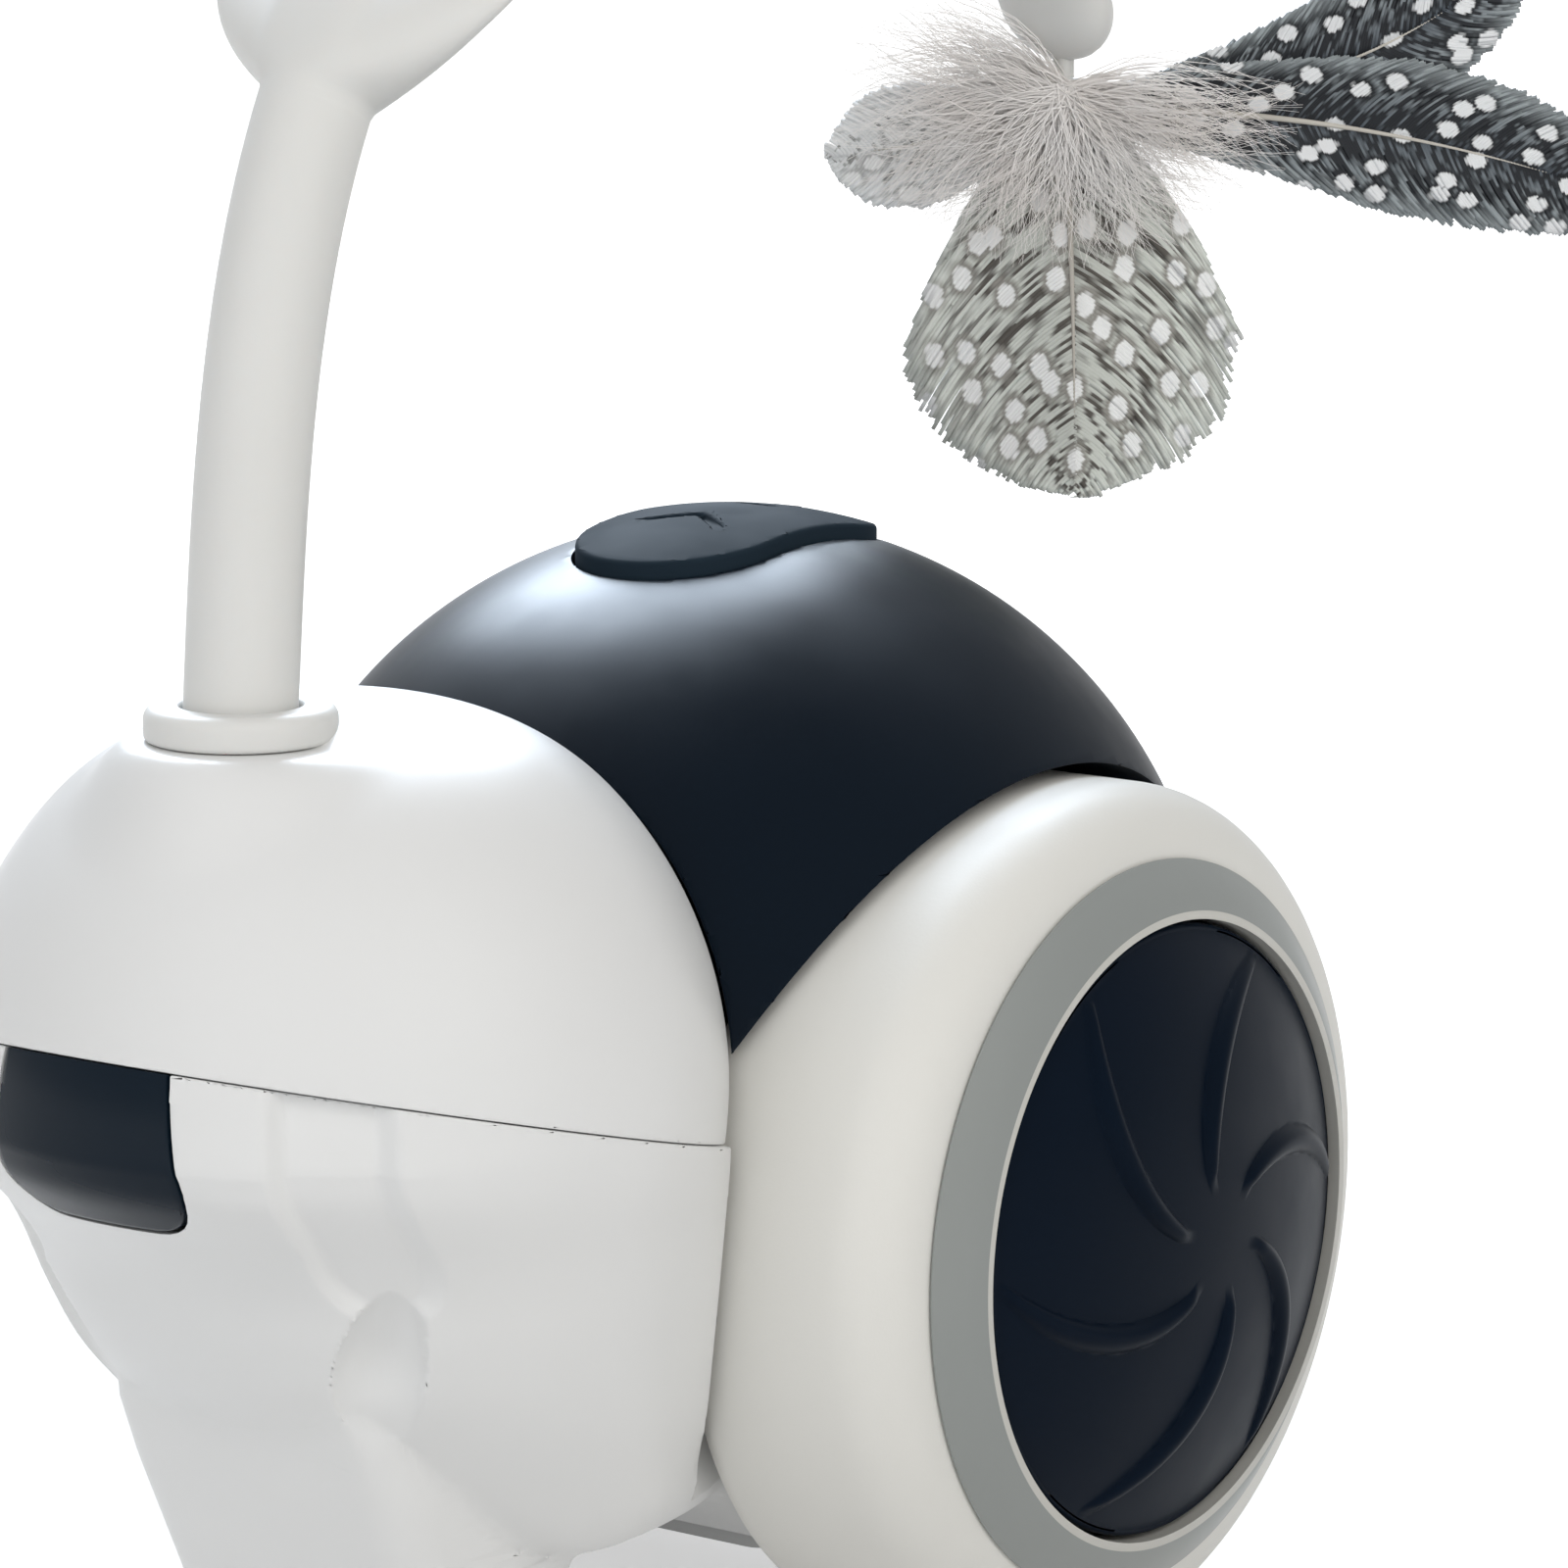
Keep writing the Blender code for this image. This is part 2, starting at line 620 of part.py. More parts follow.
def hollow(name, side, grow):
    """An egg that stands in the cheek's surface, with its short axis along the surface's normal."""
    spot = cheek_point(side, HOLLOW_Z, HOLLOW_TURN)
    upright_way = (cheek_point(side, HOLLOW_Z + mm, HOLLOW_TURN + HOLLOW_LEAN) - spot).normalized()
    level_way = (cheek_point(side, HOLLOW_Z, HOLLOW_TURN + side * radians(1)) - spot).normalized()
    normal = level_way.cross(upright_way).normalized()
    axes = Matrix((upright_way.cross(normal).normalized() * -1, normal, upright_way)).transposed()
    radii = (HOLLOW_HALF_WIDTH + grow, HOLLOW_DEPTH + grow, HOLLOW_HALF_HEIGHT + grow)
    return ball(f"{name}_{side}", spot, radii, steps=SMALL_STEPS, turn=axes.to_euler())


# Battery: a pouch cell that lies on two ribs across the belly.
BATTERY_SIZE = (30 * mm, 20 * mm, 9 * mm)
BATTERY_EDGE = 1.5 * mm
BATTERY_Y = -45.5 * mm
BATTERY_Z = 23.5 * mm
RIB_THICKNESS = 1.8 * mm
RIB_SPREAD = 7.5 * mm
battery_low = BATTERY_Z + FIT_GAP

# Sensor board behind the visor, standing on a ledge inside the chin.
SENSOR_HALF_WIDTH = 10 * mm
SENSOR_THICKNESS = 1.2 * mm
SENSOR_BEHIND_FACE = 10.2 * mm
SENSOR_LOW = 56 * mm
SENSOR_HIGH = 65.5 * mm
LEDGE_THICKNESS = 7 * mm
LEDGE_HALF_WIDTH = 22 * mm
sensor_y = HEAD_CENTRE.y - HEAD_RADIUS + SENSOR_BEHIND_FACE

bowl_room = bowl("bowl_room", SHELL_WALL, INNER_STEPS)
join(bowl_room, foot("foot_room", FOOT_WALL, foot_floor + FOOT_WALL))
cut(bowl_room, liner_cutter)
ledge_top = SENSOR_LOW - FIT_GAP
cut(bowl_room, block(
    "sensor_ledge",
    (-LEDGE_HALF_WIDTH, -HEAD_AHEAD - HEAD_RADIUS, ledge_top - LEDGE_THICKNESS),
    (LEDGE_HALF_WIDTH, sensor_y + SENSOR_THICKNESS + RIB_THICKNESS, ledge_top)))
for side in SIDES.values():
    cut(bowl_room, hollow("hollow_back", side, SHELL_WALL))
for end in (-1, 1):
    middle = BATTERY_Y + end * RIB_SPREAD
    cut(bowl_room, block(f"battery_rib_{end}",
                         (-BATTERY_SIZE[0] / 2, middle - RIB_THICKNESS / 2, 0),
                         (BATTERY_SIZE[0] / 2, middle + RIB_THICKNESS / 2, BATTERY_Z)))
drum_room = drum("drum_room", SHELL_WALL)
cut(drum_room, cover_prism("cover_boss", COVER_WALL, cover_low - OVERRUN, cover_high + SCREW_LENGTH))
shell_room = body_ball("shell_room", -SHELL_WALL, steps=INNER_STEPS)
cut(shell_room, liner_cutter)

lower_shell = bowl("lower_shell", 0, material="white_shell")
join(lower_shell, body_ball("shell_ball", 0), drum("drum", 0), foot("foot", 0, FOOT_BOTTOM))
boolean(lower_shell, below_seam, "INTERSECT")
cut(lower_shell, well_cutter, bowl_room, drum_room, shell_room)
cut(lower_shell, visor_prism("visor_opening", FIT_GAP))
for side in SIDES.values():
    cut(lower_shell, groove(side), hollow("hollow", side, 0))
cut(lower_shell, rod("cup_hole", (0, castor_y, cup_bottom - OVERRUN), (0, castor_y, foot_floor),
                     CUP_RADIUS + FIT_GAP, steps=SMALL_STEPS + 8))
cut(lower_shell, cover_prism("cover_recess", FIT_GAP, -OVERRUN, cover_high + FIT_GAP))
for number, (x, y) in enumerate(SCREWS):
    cut(lower_shell, rod(f"screw_hole_{number}", (x, y, cover_low), (x, y, cover_low + SCREW_LENGTH + FIT_GAP),
                         SCREW_SHANK_RADIUS + FIT_GAP, steps=SMALL_STEPS // 2))
BUSH_RADIUS = 4 * mm
for name, side in SIDES.items():
    bush_hole = rod(f"bush_hole_{name}", (side * (LINER_X - OVERRUN), 0, AXLE_Z),
                    (side * (WELL_INNER_X + OVERRUN), 0, AXLE_Z), BUSH_RADIUS + FIT_GAP)
    cut(lower_shell, bush_hole)
    cut(upper_cover, bush_hole)

visor = bowl("visor", 0, material="dark_window")
boolean(visor, visor_prism("visor_outline", 0), "INTERSECT")
boolean(visor, below_seam, "INTERSECT")
cut(visor, bowl("visor_back", VISOR_THICKNESS))

# Castor: a steel ball in a snap-in cup.
cup_room = CASTOR_RADIUS + CASTOR_GAP
cup_first = asin((cup_bottom - castor_centre.z) / cup_room)
cup_angles = [cup_first + (pi / 2 - cup_first) * step / CUP_DOME_STEPS for step in range(CUP_DOME_STEPS)]
cup_profile = [(0, cup_bottom + CUP_HEIGHT), (CUP_RADIUS, cup_bottom + CUP_HEIGHT), (CUP_RADIUS, cup_bottom)]
cup_profile += [(cup_room * cos(angle), castor_centre.z + cup_room * sin(angle)) for angle in cup_angles]
cup_profile += [(0, castor_centre.z + cup_room)]
castor_cup = turned("castor_cup", cup_profile, "frame_plastic", steps=SMALL_STEPS, ring=False)
castor_cup.location = (0, castor_y, 0)
castor_ball = ball("castor_ball", castor_centre, (CASTOR_RADIUS,) * 3, "steel", steps=SMALL_STEPS)

# Service cover and its screws.
service_cover = cover_prism("service_cover", 0, cover_low, cover_high, "white_shell")
for number, (x, y) in enumerate(SCREWS):
    cut(service_cover, rod(f"cover_hole_{number}", (x, y, cover_low - OVERRUN), (x, y, cover_high + OVERRUN),
                           SCREW_SHANK_RADIUS + FIT_GAP, steps=SMALL_STEPS // 2))
    cut(service_cover, rod(f"cover_sink_{number}", (x, y, cover_low - OVERRUN),
                           (x, y, cover_low + SCREW_HEAD_HEIGHT + FIT_GAP), SCREW_HEAD_RADIUS + FIT_GAP,
                           steps=SMALL_STEPS // 2))
for number, (x, y) in enumerate(SCREWS):
    cover_screw = rod(f"cover_screw_{number + 1}", (x, y, cover_low), (x, y, cover_low + SCREW_HEAD_HEIGHT),
                      SCREW_HEAD_RADIUS, "steel", steps=SMALL_STEPS // 2)
    join(cover_screw, rod(f"screw_shank_{number + 1}", (x, y, cover_low + SCREW_HEAD_HEIGHT / 2),
                          (x, y, cover_low + SCREW_LENGTH), SCREW_SHANK_RADIUS, steps=SMALL_STEPS // 2))

# Button: a crowned pad in the dome's top on a flange that keeps it in, with a post down to its switch.
SWITCH_SIZE = 6 * mm
SWITCH_HEIGHT = 4.2 * mm
POST_RADIUS = 2.2 * mm
POST_GAP = 1 * mm
switch_top = board_top + FIT_GAP + SWITCH_HEIGHT
pad_low = BODY_CENTRE.z + sqrt((BODY_RADIUS - SHELL_WALL) ** 2 - PAD_HALF_LENGTH ** 2) - PAD_DEPTH
button_pad = ball("button_pad", BODY_CENTRE, (BODY_RADIUS + PAD_PROUD,) * 3, "button_rubber")
pad_room = body_ball("pad_room", -SHELL_WALL - FIT_GAP - PAD_FLANGE)
pad_neck = pad_prism("pad_neck", 0, pad_low, dome_top + OVERRUN)
pad_skirt = body_ball("pad_skirt", -SHELL_WALL - RUN_GAP)
boolean(pad_skirt, pad_prism("pad_skirt_outline", PAD_FLANGE, pad_low, dome_top + OVERRUN), "INTERSECT")
boolean(button_pad, pad_neck, "INTERSECT")
join(button_pad, pad_skirt)
cut(button_pad, pad_room)
join(button_pad, rod("switch_post", (0, 0, switch_top + POST_GAP), (0, 0, dome_top - SHELL_WALL / 2), POST_RADIUS))

# Boards, switch, sensors, socket and battery.
main_board = block("main_board", (-BOARD_HALF_WIDTH, -BOARD_HALF_LENGTH, board_z),
                   (BOARD_HALF_WIDTH, BOARD_HALF_LENGTH, board_top), "board_green")
tact_switch = block("tact_switch", (-SWITCH_SIZE / 2, -SWITCH_SIZE / 2, board_top + FIT_GAP),
                    (SWITCH_SIZE / 2, SWITCH_SIZE / 2, switch_top), "frame_plastic")
sensor_board = block("sensor_board", (-SENSOR_HALF_WIDTH, sensor_y, SENSOR_LOW),
                     (SENSOR_HALF_WIDTH, sensor_y + SENSOR_THICKNESS, SENSOR_HIGH), "board_green")
EYE_RADIUS = 2.2 * mm
EYE_LENGTH = 4.2 * mm
EYE_SPREAD = 6 * mm
EYE_TAPER = 0.7
eye_z = (SENSOR_LOW + SENSOR_HIGH) / 2
eye_back = sensor_y - FIT_GAP
for number, across in enumerate((-EYE_SPREAD, 0, EYE_SPREAD)):
    rod(f"infrared_eye_{number + 1}", (across, eye_back, eye_z), (across, eye_back - EYE_LENGTH, eye_z),
        EYE_RADIUS, "lamp_clear", steps=SMALL_STEPS // 2, end_radius=EYE_RADIUS * EYE_TAPER)
charge_socket = block("charge_socket",
                      (-SOCKET_WIDTH / 2, rear_y - SOCKET_DEPTH, socket_z - SOCKET_HEIGHT / 2),
                      (SOCKET_WIDTH / 2, rear_y - FIT_GAP, socket_z + SOCKET_HEIGHT / 2), "steel",
                      edge=SOCKET_HEIGHT * 0.25)
SOCKET_WALL = 0.5 * mm
cut(charge_socket, block("socket_mouth",
                         (-SOCKET_WIDTH / 2 + SOCKET_WALL, rear_y - SOCKET_DEPTH + 2 * SOCKET_WALL,
                          socket_z - SOCKET_HEIGHT / 2 + SOCKET_WALL),
                         (SOCKET_WIDTH / 2 - SOCKET_WALL, rear_y + OVERRUN,
                          socket_z + SOCKET_HEIGHT / 2 - SOCKET_WALL)))
battery = block("battery", (-BATTERY_SIZE[0] / 2, BATTERY_Y - BATTERY_SIZE[1] / 2, battery_low),
                (BATTERY_SIZE[0] / 2, BATTERY_Y + BATTERY_SIZE[1] / 2, battery_low + BATTERY_SIZE[2]),
                "cell_blue", edge=BATTERY_EDGE)

# Drive trains: motor pinion, two-step idler and output gear on the wheel's axle, one set a side.
MODULE = 0.8 * mm
PINION_TEETH = 9
IDLER_TEETH = 22
OUTPUT_TEETH = 27
TOOTH_SHARE = 0.4
ADDENDUM_SHARE = 0.7
DEDENDUM_SHARE = 1.15
IDLER_SLOPE = radians(195)
PINION_SLOPE = radians(190)
GEAR_WIDTH = 2.6 * mm
GEAR_STEP = 0.4 * mm
PIN_RADIUS = 1 * mm
MOTOR_RADIUS = 7.6 * mm
MOTOR_LENGTH = 11.4 * mm
PLATE_THICKNESS = 1.6 * mm
PLATE_MARGIN = 4 * mm
PILLAR_GAP = 1.2 * mm
output_high = LINER_X - FIT_GAP - GEAR_STEP / 2
output_low = output_high - GEAR_WIDTH
first_high = output_low - GEAR_STEP
first_low = first_high - GEAR_WIDTH
plate_high = first_low - GEAR_STEP
plate_low = plate_high - PLATE_THICKNESS
motor_high = plate_low - FIT_GAP
motor_low = motor_high - MOTOR_LENGTH
idler_reach = MODULE * (OUTPUT_TEETH + PINION_TEETH) / 2
pinion_reach = MODULE * (IDLER_TEETH + PINION_TEETH) / 2
idler_spot = (idler_reach * cos(IDLER_SLOPE), AXLE_Z + idler_reach * sin(IDLER_SLOPE))
pinion_spot = (idler_spot[0] + pinion_reach * cos(PINION_SLOPE), idler_spot[1] + pinion_reach * sin(PINION_SLOPE))


def gear_loop(teeth, first_angle):
    """A gear's outline with straight-sided teeth, one of them pointing along first_angle."""
    pitch = MODULE * teeth / 2
    tip = pitch + ADDENDUM_SHARE * MODULE
    root = pitch - DEDENDUM_SHARE * MODULE
    half_base = TOOTH_SHARE * pi / teeth * 1.5
    half_tip = TOOTH_SHARE * pi / teeth * 0.55
    points = []
    for tooth in range(teeth):
        middle = first_angle + 2 * pi * tooth / teeth
        for radius, offset in ((root, -half_base), (tip, -half_tip), (tip, half_tip), (root, half_base)):
            points.append((radius * cos(middle + offset), radius * sin(middle + offset)))
    return points


def upright(thing, side, x, spot):
    """Stand a flat outline across X, its own right towards +Y and its own top towards +Z."""
    thing.rotation_euler = (pi / 2, 0, pi / 2)
    thing.location = (side * x, *spot)
    return thing


def gear(name, side, teeth, first_angle, low, high, spot, bore, material=None):
    thing = outline(name, [gear_loop(teeth, first_angle), circle(bore, SMALL_STEPS // 2)], high - low, material)
    return upright(thing, side, (low + high) / 2, spot)


def hull_loop(discs, steps=8):
    """The outline that a string stretched round a row of discs would take."""
    points = [(y + radius * cos(2 * pi * step / (3 * steps)), z + radius * sin(2 * pi * step / (3 * steps)))
              for y, z, radius in discs for step in range(3 * steps)]
    points.sort()
    lower = []
    upper = []
    for chain, row in ((lower, points), (upper, reversed(points))):
        for point in row:
            while len(chain) > 1 and ((chain[-1][0] - chain[-2][0]) * (point[1] - chain[-2][1])
                                      <= (chain[-1][1] - chain[-2][1]) * (point[0] - chain[-2][0])):
                chain.pop()
            chain.append(point)
    return lower[:-1] + upper[:-1]


# The gap between two teeth of each follower faces the tooth of the gear that it meshes with.
idler_gap = IDLER_SLOPE + pi + pi / PINION_TEETH
pinion_gap = PINION_SLOPE + pi + pi / PINION_TEETH
plate_discs = [(0, AXLE_Z, AXLE_RADIUS + PLATE_MARGIN), (*idler_spot, PIN_RADIUS + PLATE_MARGIN),
               (*pinion_spot, MOTOR_RADIUS)]
SPACER_RADIUS = 1.8 * mm
spacer_reach = MODULE * OUTPUT_TEETH / 2 + MODULE + SPACER_RADIUS + PILLAR_GAP
SPACER_SLOPES = (radians(300), radians(70))
spacer_spots = [(spacer_reach * cos(slope), AXLE_Z + spacer_reach * sin(slope)) for slope in SPACER_SLOPES]
plate_discs += [(*spot, SPACER_RADIUS + PLATE_THICKNESS) for spot in spacer_spots]
for name, side in SIDES.items():
    gearbox = outline(
        f"gearbox_{name}",
        [hull_loop(plate_discs), circle(AXLE_RADIUS + RUN_GAP, SMALL_STEPS // 2, (0, AXLE_Z)),
         circle(PIN_RADIUS + FIT_GAP, SMALL_STEPS // 2, idler_spot),
         circle(PIN_RADIUS + 2 * RUN_GAP, SMALL_STEPS // 2, pinion_spot)],
        plate_high - plate_low, "frame_plastic")
    upright(gearbox, side, (plate_low + plate_high) / 2, (0, 0))
    for number, (y, z) in enumerate(spacer_spots):
        join(gearbox, rod(f"spacer_{name}_{number}", (side * (plate_low + PLATE_THICKNESS / 2), y, z),
                          (side * (LINER_X - FIT_GAP), y, z), SPACER_RADIUS, steps=SMALL_STEPS // 2))
    motor = rod(f"motor_{name}", (side * motor_low, *pinion_spot), (side * motor_high, *pinion_spot), MOTOR_RADIUS,
                "steel")
    cut(motor, rod(f"motor_nose_{name}", (side * (motor_high - PLATE_THICKNESS), *pinion_spot),
                   (side * (motor_high + OVERRUN), *pinion_spot), PIN_RADIUS + 2 * RUN_GAP,
                   steps=SMALL_STEPS // 2))
    pinion = gear(f"motor_pinion_{name}", side, PINION_TEETH, pinion_gap, first_low, first_high, pinion_spot,
                  PIN_RADIUS * 0.5, "gear_nylon")
    join(pinion, rod(f"motor_shaft_{name}", (side * (motor_high - PLATE_THICKNESS + FIT_GAP), *pinion_spot),
                     (side * first_high, *pinion_spot), PIN_RADIUS, steps=SMALL_STEPS // 2))
    idler = gear(f"idler_gear_{name}", side, IDLER_TEETH, PINION_SLOPE, first_low, first_high + GEAR_STEP / 2,
                 idler_spot, PIN_RADIUS + FIT_GAP, "gear_nylon")
    join(idler, gear(f"idler_small_{name}", side, PINION_TEETH, idler_gap, first_high - GEAR_STEP / 2, output_high,
                     idler_spot, PIN_RADIUS + FIT_GAP))
    output_gear = gear(f"output_gear_{name}", side, OUTPUT_TEETH, IDLER_SLOPE, output_low, output_high, (0, AXLE_Z),
                       AXLE_RADIUS + FIT_GAP, "gear_nylon")
    gear_pin = rod(f"gear_pin_{name}", (side * plate_low, *idler_spot), (side * (LINER_X - FIT_GAP), *idler_spot),
                   PIN_RADIUS, "steel", steps=SMALL_STEPS // 2)

# Wheels: steel axle, bush in the shell, dished rim, soft tyre, grey trim ring and swirled hub cap.
TRIM_OUTER = 35.5 * mm
TRIM_INNER = 29.9 * mm
TRIM_LIP = 0.8 * mm
TRIM_RISE = 3.4 * mm
TRIM_BACK = 1 * mm
TYRE_SHOULDER = 7 * mm
SHOULDER_FIRST = radians(4.6)
TYRE_INNER_SHOULDER = 3.5 * mm
TYRE_BORE = 34 * mm
RIM_WALL = 1.8 * mm
RIM_WEB_X = 3 * mm
RIM_BOSS = 6 * mm
HUB_RADIUS = 29.4 * mm
HUB_RISE = 6.8 * mm
HUB_WALL = 2 * mm
HUB_SKIRT = 3.4 * mm
HUB_RINGS = 5
RIDGE_COUNT = 6
RIDGE_INNER = 6.5 * mm
RIDGE_OUTER = 28 * mm
RIDGE_START = radians(45)
RIDGE_SWEEP = radians(45)
RIDGE_WIDTH = 1.7 * mm
RIDGE_HEIGHT = 1.1 * mm
RIDGE_STATIONS = 6
tyre_outer_x = TYRE_INNER_X + TYRE_WIDTH
trim_x = tyre_outer_x + TRIM_RISE
hub_base_x = trim_x - TRIM_BACK
hub_curve = (HUB_RADIUS ** 2 + HUB_RISE ** 2) / (2 * HUB_RISE)


def hub_height(radius, lift=0):
    """How far the hub cap's crown stands out at a radius."""
    return hub_base_x + HUB_RISE + lift - hub_curve + sqrt(hub_curve ** 2 - radius ** 2)


def shoulder(centre_radius, centre_x, reach, first, last, steps):
    """Points along a quarter-round shoulder, as (radius, place along the axle)."""
    points = []
    for step in range(steps + 1):
        angle = first + (last - first) * step / steps
        points.append((centre_radius + reach * sin(angle), centre_x + reach * cos(angle)))
    return points


outer_shoulder = shoulder(WHEEL_RADIUS - TYRE_SHOULDER, tyre_outer_x - TYRE_SHOULDER, TYRE_SHOULDER,
                          SHOULDER_FIRST, pi / 2, 5)
inner_shoulder = shoulder(WHEEL_RADIUS - TYRE_INNER_SHOULDER, TYRE_INNER_X + TYRE_INNER_SHOULDER,
                          TYRE_INNER_SHOULDER, pi / 2, pi, 3)
tyre_profile = ([(TYRE_BORE, tyre_outer_x)] + outer_shoulder + inner_shoulder + [(TYRE_BORE, TYRE_INNER_X)])
barrel = TYRE_BORE - FIT_GAP
rim_front = tyre_outer_x - TRIM_BACK
rim_back = TYRE_INNER_X + RIM_WALL
web_x = TYRE_INNER_X + RIM_WEB_X + RIM_WALL
rim_profile = [
    (barrel - RIM_WALL, rim_front), (barrel, rim_front), (barrel, rim_back), (barrel - RIM_WALL, rim_back),
    (RIM_BOSS, rim_back), (RIM_BOSS, TYRE_INNER_X), (AXLE_RADIUS + FIT_GAP, TYRE_INNER_X),
    (AXLE_RADIUS + FIT_GAP, rim_front), (RIM_BOSS - RIM_WALL, rim_front), (RIM_BOSS, web_x),
    (barrel - RIM_WALL, web_x),
]
trim_profile = [
    (TRIM_INNER, trim_x), (TRIM_INNER + TRIM_LIP, trim_x), (TRIM_OUTER, tyre_outer_x + FIT_GAP),
    (barrel, tyre_outer_x + FIT_GAP), (barrel, rim_front + FIT_GAP), (TRIM_INNER, rim_front + FIT_GAP),
]
boss_radius = AXLE_RADIUS + FIT_GAP + RIM_WALL
hub_profile = [(0, hub_height(0))]
hub_profile += [(HUB_RADIUS * step / HUB_RINGS, hub_height(HUB_RADIUS * step / HUB_RINGS))
                for step in range(1, HUB_RINGS + 1)]
hub_profile += [
    (HUB_RADIUS, hub_base_x - HUB_SKIRT), (HUB_RADIUS - HUB_WALL, hub_base_x - HUB_SKIRT),
    (HUB_RADIUS - HUB_WALL, hub_base_x - HUB_WALL), (HUB_RADIUS / 2, hub_height(HUB_RADIUS / 2) - HUB_WALL),
    (boss_radius, hub_height(boss_radius) - HUB_WALL), (boss_radius, rim_front + FIT_GAP),
    (0, rim_front + FIT_GAP),
]


def ridge_spot(side, turn, share):
    """A place along one swirl ridge, as an angle and a radius."""
    radius = RIDGE_INNER + share * (RIDGE_OUTER - RIDGE_INNER)
    return pi / 2 + side * (RIDGE_START + turn - RIDGE_SWEEP * share), radius


def ridge(name, side, turn):
    """One curved ridge that swells from the hub's middle to its edge, in the wheel's own frame."""
    rings = []
    for station in range(RIDGE_STATIONS):
        share = station / (RIDGE_STATIONS - 1)
        angle, radius = ridge_spot(side, turn, share)
        after_angle, after_radius = ridge_spot(side, turn, share + 0.01)
        here = Vector((radius * cos(angle), radius * sin(angle), 0))
        along = (Vector((after_radius * cos(after_angle), after_radius * sin(after_angle), 0)) - here).normalized()
        across = Vector((-along.y, along.x, 0))
        swell = sin(pi * (0.12 + 0.8 * share)) ** 0.7
        half = RIDGE_WIDTH / 2 * swell
        low = hub_height(radius) - HUB_WALL / 2
        high = hub_height(radius) + RIDGE_HEIGHT * swell
        rings.append([here + across * half + Vector((0, 0, low)), here - across * half + Vector((0, 0, low)),
                      here - across * half * 0.55 + Vector((0, 0, high)),
                      here + across * half * 0.55 + Vector((0, 0, high))])
    return loft(name, rings)


def on_axle(thing, side):
    """Turn a piece made round local Z so that it faces outwards on one side's axle."""
    thing.rotation_euler = (0, side * pi / 2, 0)
    thing.location = (0, 0, AXLE_Z)
    return thing


for name, side in SIDES.items():
    rod(f"axle_{name}", (side * AXLE_INNER_X, 0, AXLE_Z), (side * (rim_front - FIT_GAP), 0, AXLE_Z), AXLE_RADIUS,
        "steel")
    bush_profile = [
        (AXLE_RADIUS + RUN_GAP, TYRE_INNER_X - RUN_GAP), (RIM_BOSS - FIT_GAP, TYRE_INNER_X - RUN_GAP),
        (RIM_BOSS - FIT_GAP, WELL_INNER_X + FIT_GAP), (BUSH_RADIUS, WELL_INNER_X + FIT_GAP),
        (BUSH_RADIUS, LINER_X), (AXLE_RADIUS + RUN_GAP, LINER_X),
    ]
    on_axle(turned(f"axle_bush_{name}", bush_profile, "gear_nylon", steps=SMALL_STEPS), side)
    on_axle(turned(f"rim_{name}", rim_profile, "white_shell", steps=INNER_STEPS), side)
    on_axle(turned(f"tyre_{name}", tyre_profile, "tyre_rubber"), side)
    on_axle(turned(f"trim_ring_{name}", trim_profile, "grey_trim"), side)
    hub_cap = on_axle(turned(f"hub_cap_{name}", hub_profile, "hub_plastic", ring=False), side)
    for number in range(RIDGE_COUNT):
        join(hub_cap, on_axle(ridge(f"ridge_{name}_{number}", side, 2 * pi * number / RIDGE_COUNT), side))

# Arm collar: a grommet in the head's top that the arm plugs into.
collar_profile = [
    (STEM_RADIUS + RUN_GAP, COLLAR_TOP), (COLLAR_RADIUS - COLLAR_FLANGE * 0.3, COLLAR_TOP),
    (COLLAR_RADIUS, COLLAR_TOP - COLLAR_FLANGE * 0.4), (COLLAR_RADIUS, COLLAR_TOP - COLLAR_FLANGE),
    (COLLAR_NECK_RADIUS, COLLAR_TOP - COLLAR_FLANGE), (COLLAR_NECK_RADIUS, seat_top - SEAT_DEPTH),
    (STEM_RADIUS + RUN_GAP, seat_top - SEAT_DEPTH),
]
arm_collar = turned("arm_collar", collar_profile, "white_silicone", steps=SMALL_STEPS + 8)
arm_collar.location = (0, collar_y, 0)

# Arm: a soft round stem that bends back, widens into a cupped leaf, arches over the body
# and narrows to a thick round tip. Its middle line lies in the plane x = 0.
STEM_LENGTH = 60 * mm
STEM_LEAN = radians(4.5)
LEAF_LEAN = radians(32)
TIP_LEAN = radians(156)
ARCH_RADIUS = 67 * mm
LEAF_START = 55 * mm
LEAF_HALF_WIDTH = 21 * mm
LEAF_HALF_THICKNESS = 1.7 * mm
LEAF_CUP = 5 * mm
TIP_HALF_WIDTH = 6.2 * mm
TIP_HALF_THICKNESS = 3.9 * mm
ARM_STEPS = 16
ARM_CROWD = 0.22
SPINE_HEIGHT = 2.6 * mm
SPINE_HALF_WIDTH = 5 * mm
SPINE_FULL_SHARE = 0.14
SPINE_FADE_SHARES = (0.35, 0.75)
FLARE_SHARE = 0.055
FLARE_LENGTH = 12 * mm
TIP_LENGTH = 12 * mm
FINE_STEPS = 8
arch_length = ARCH_RADIUS * (TIP_LEAN - LEAF_LEAN)
arm_length = STEM_LENGTH + arch_length


def arm_lean(along):
    """Lean of the middle line from upright, at a distance along the arm."""
    if along < STEM_LENGTH:
        return STEM_LEAN + (LEAF_LEAN - STEM_LEAN) * (max(0, along) / STEM_LENGTH) ** 2
    return LEAF_LEAN + (along - STEM_LENGTH) / ARCH_RADIUS


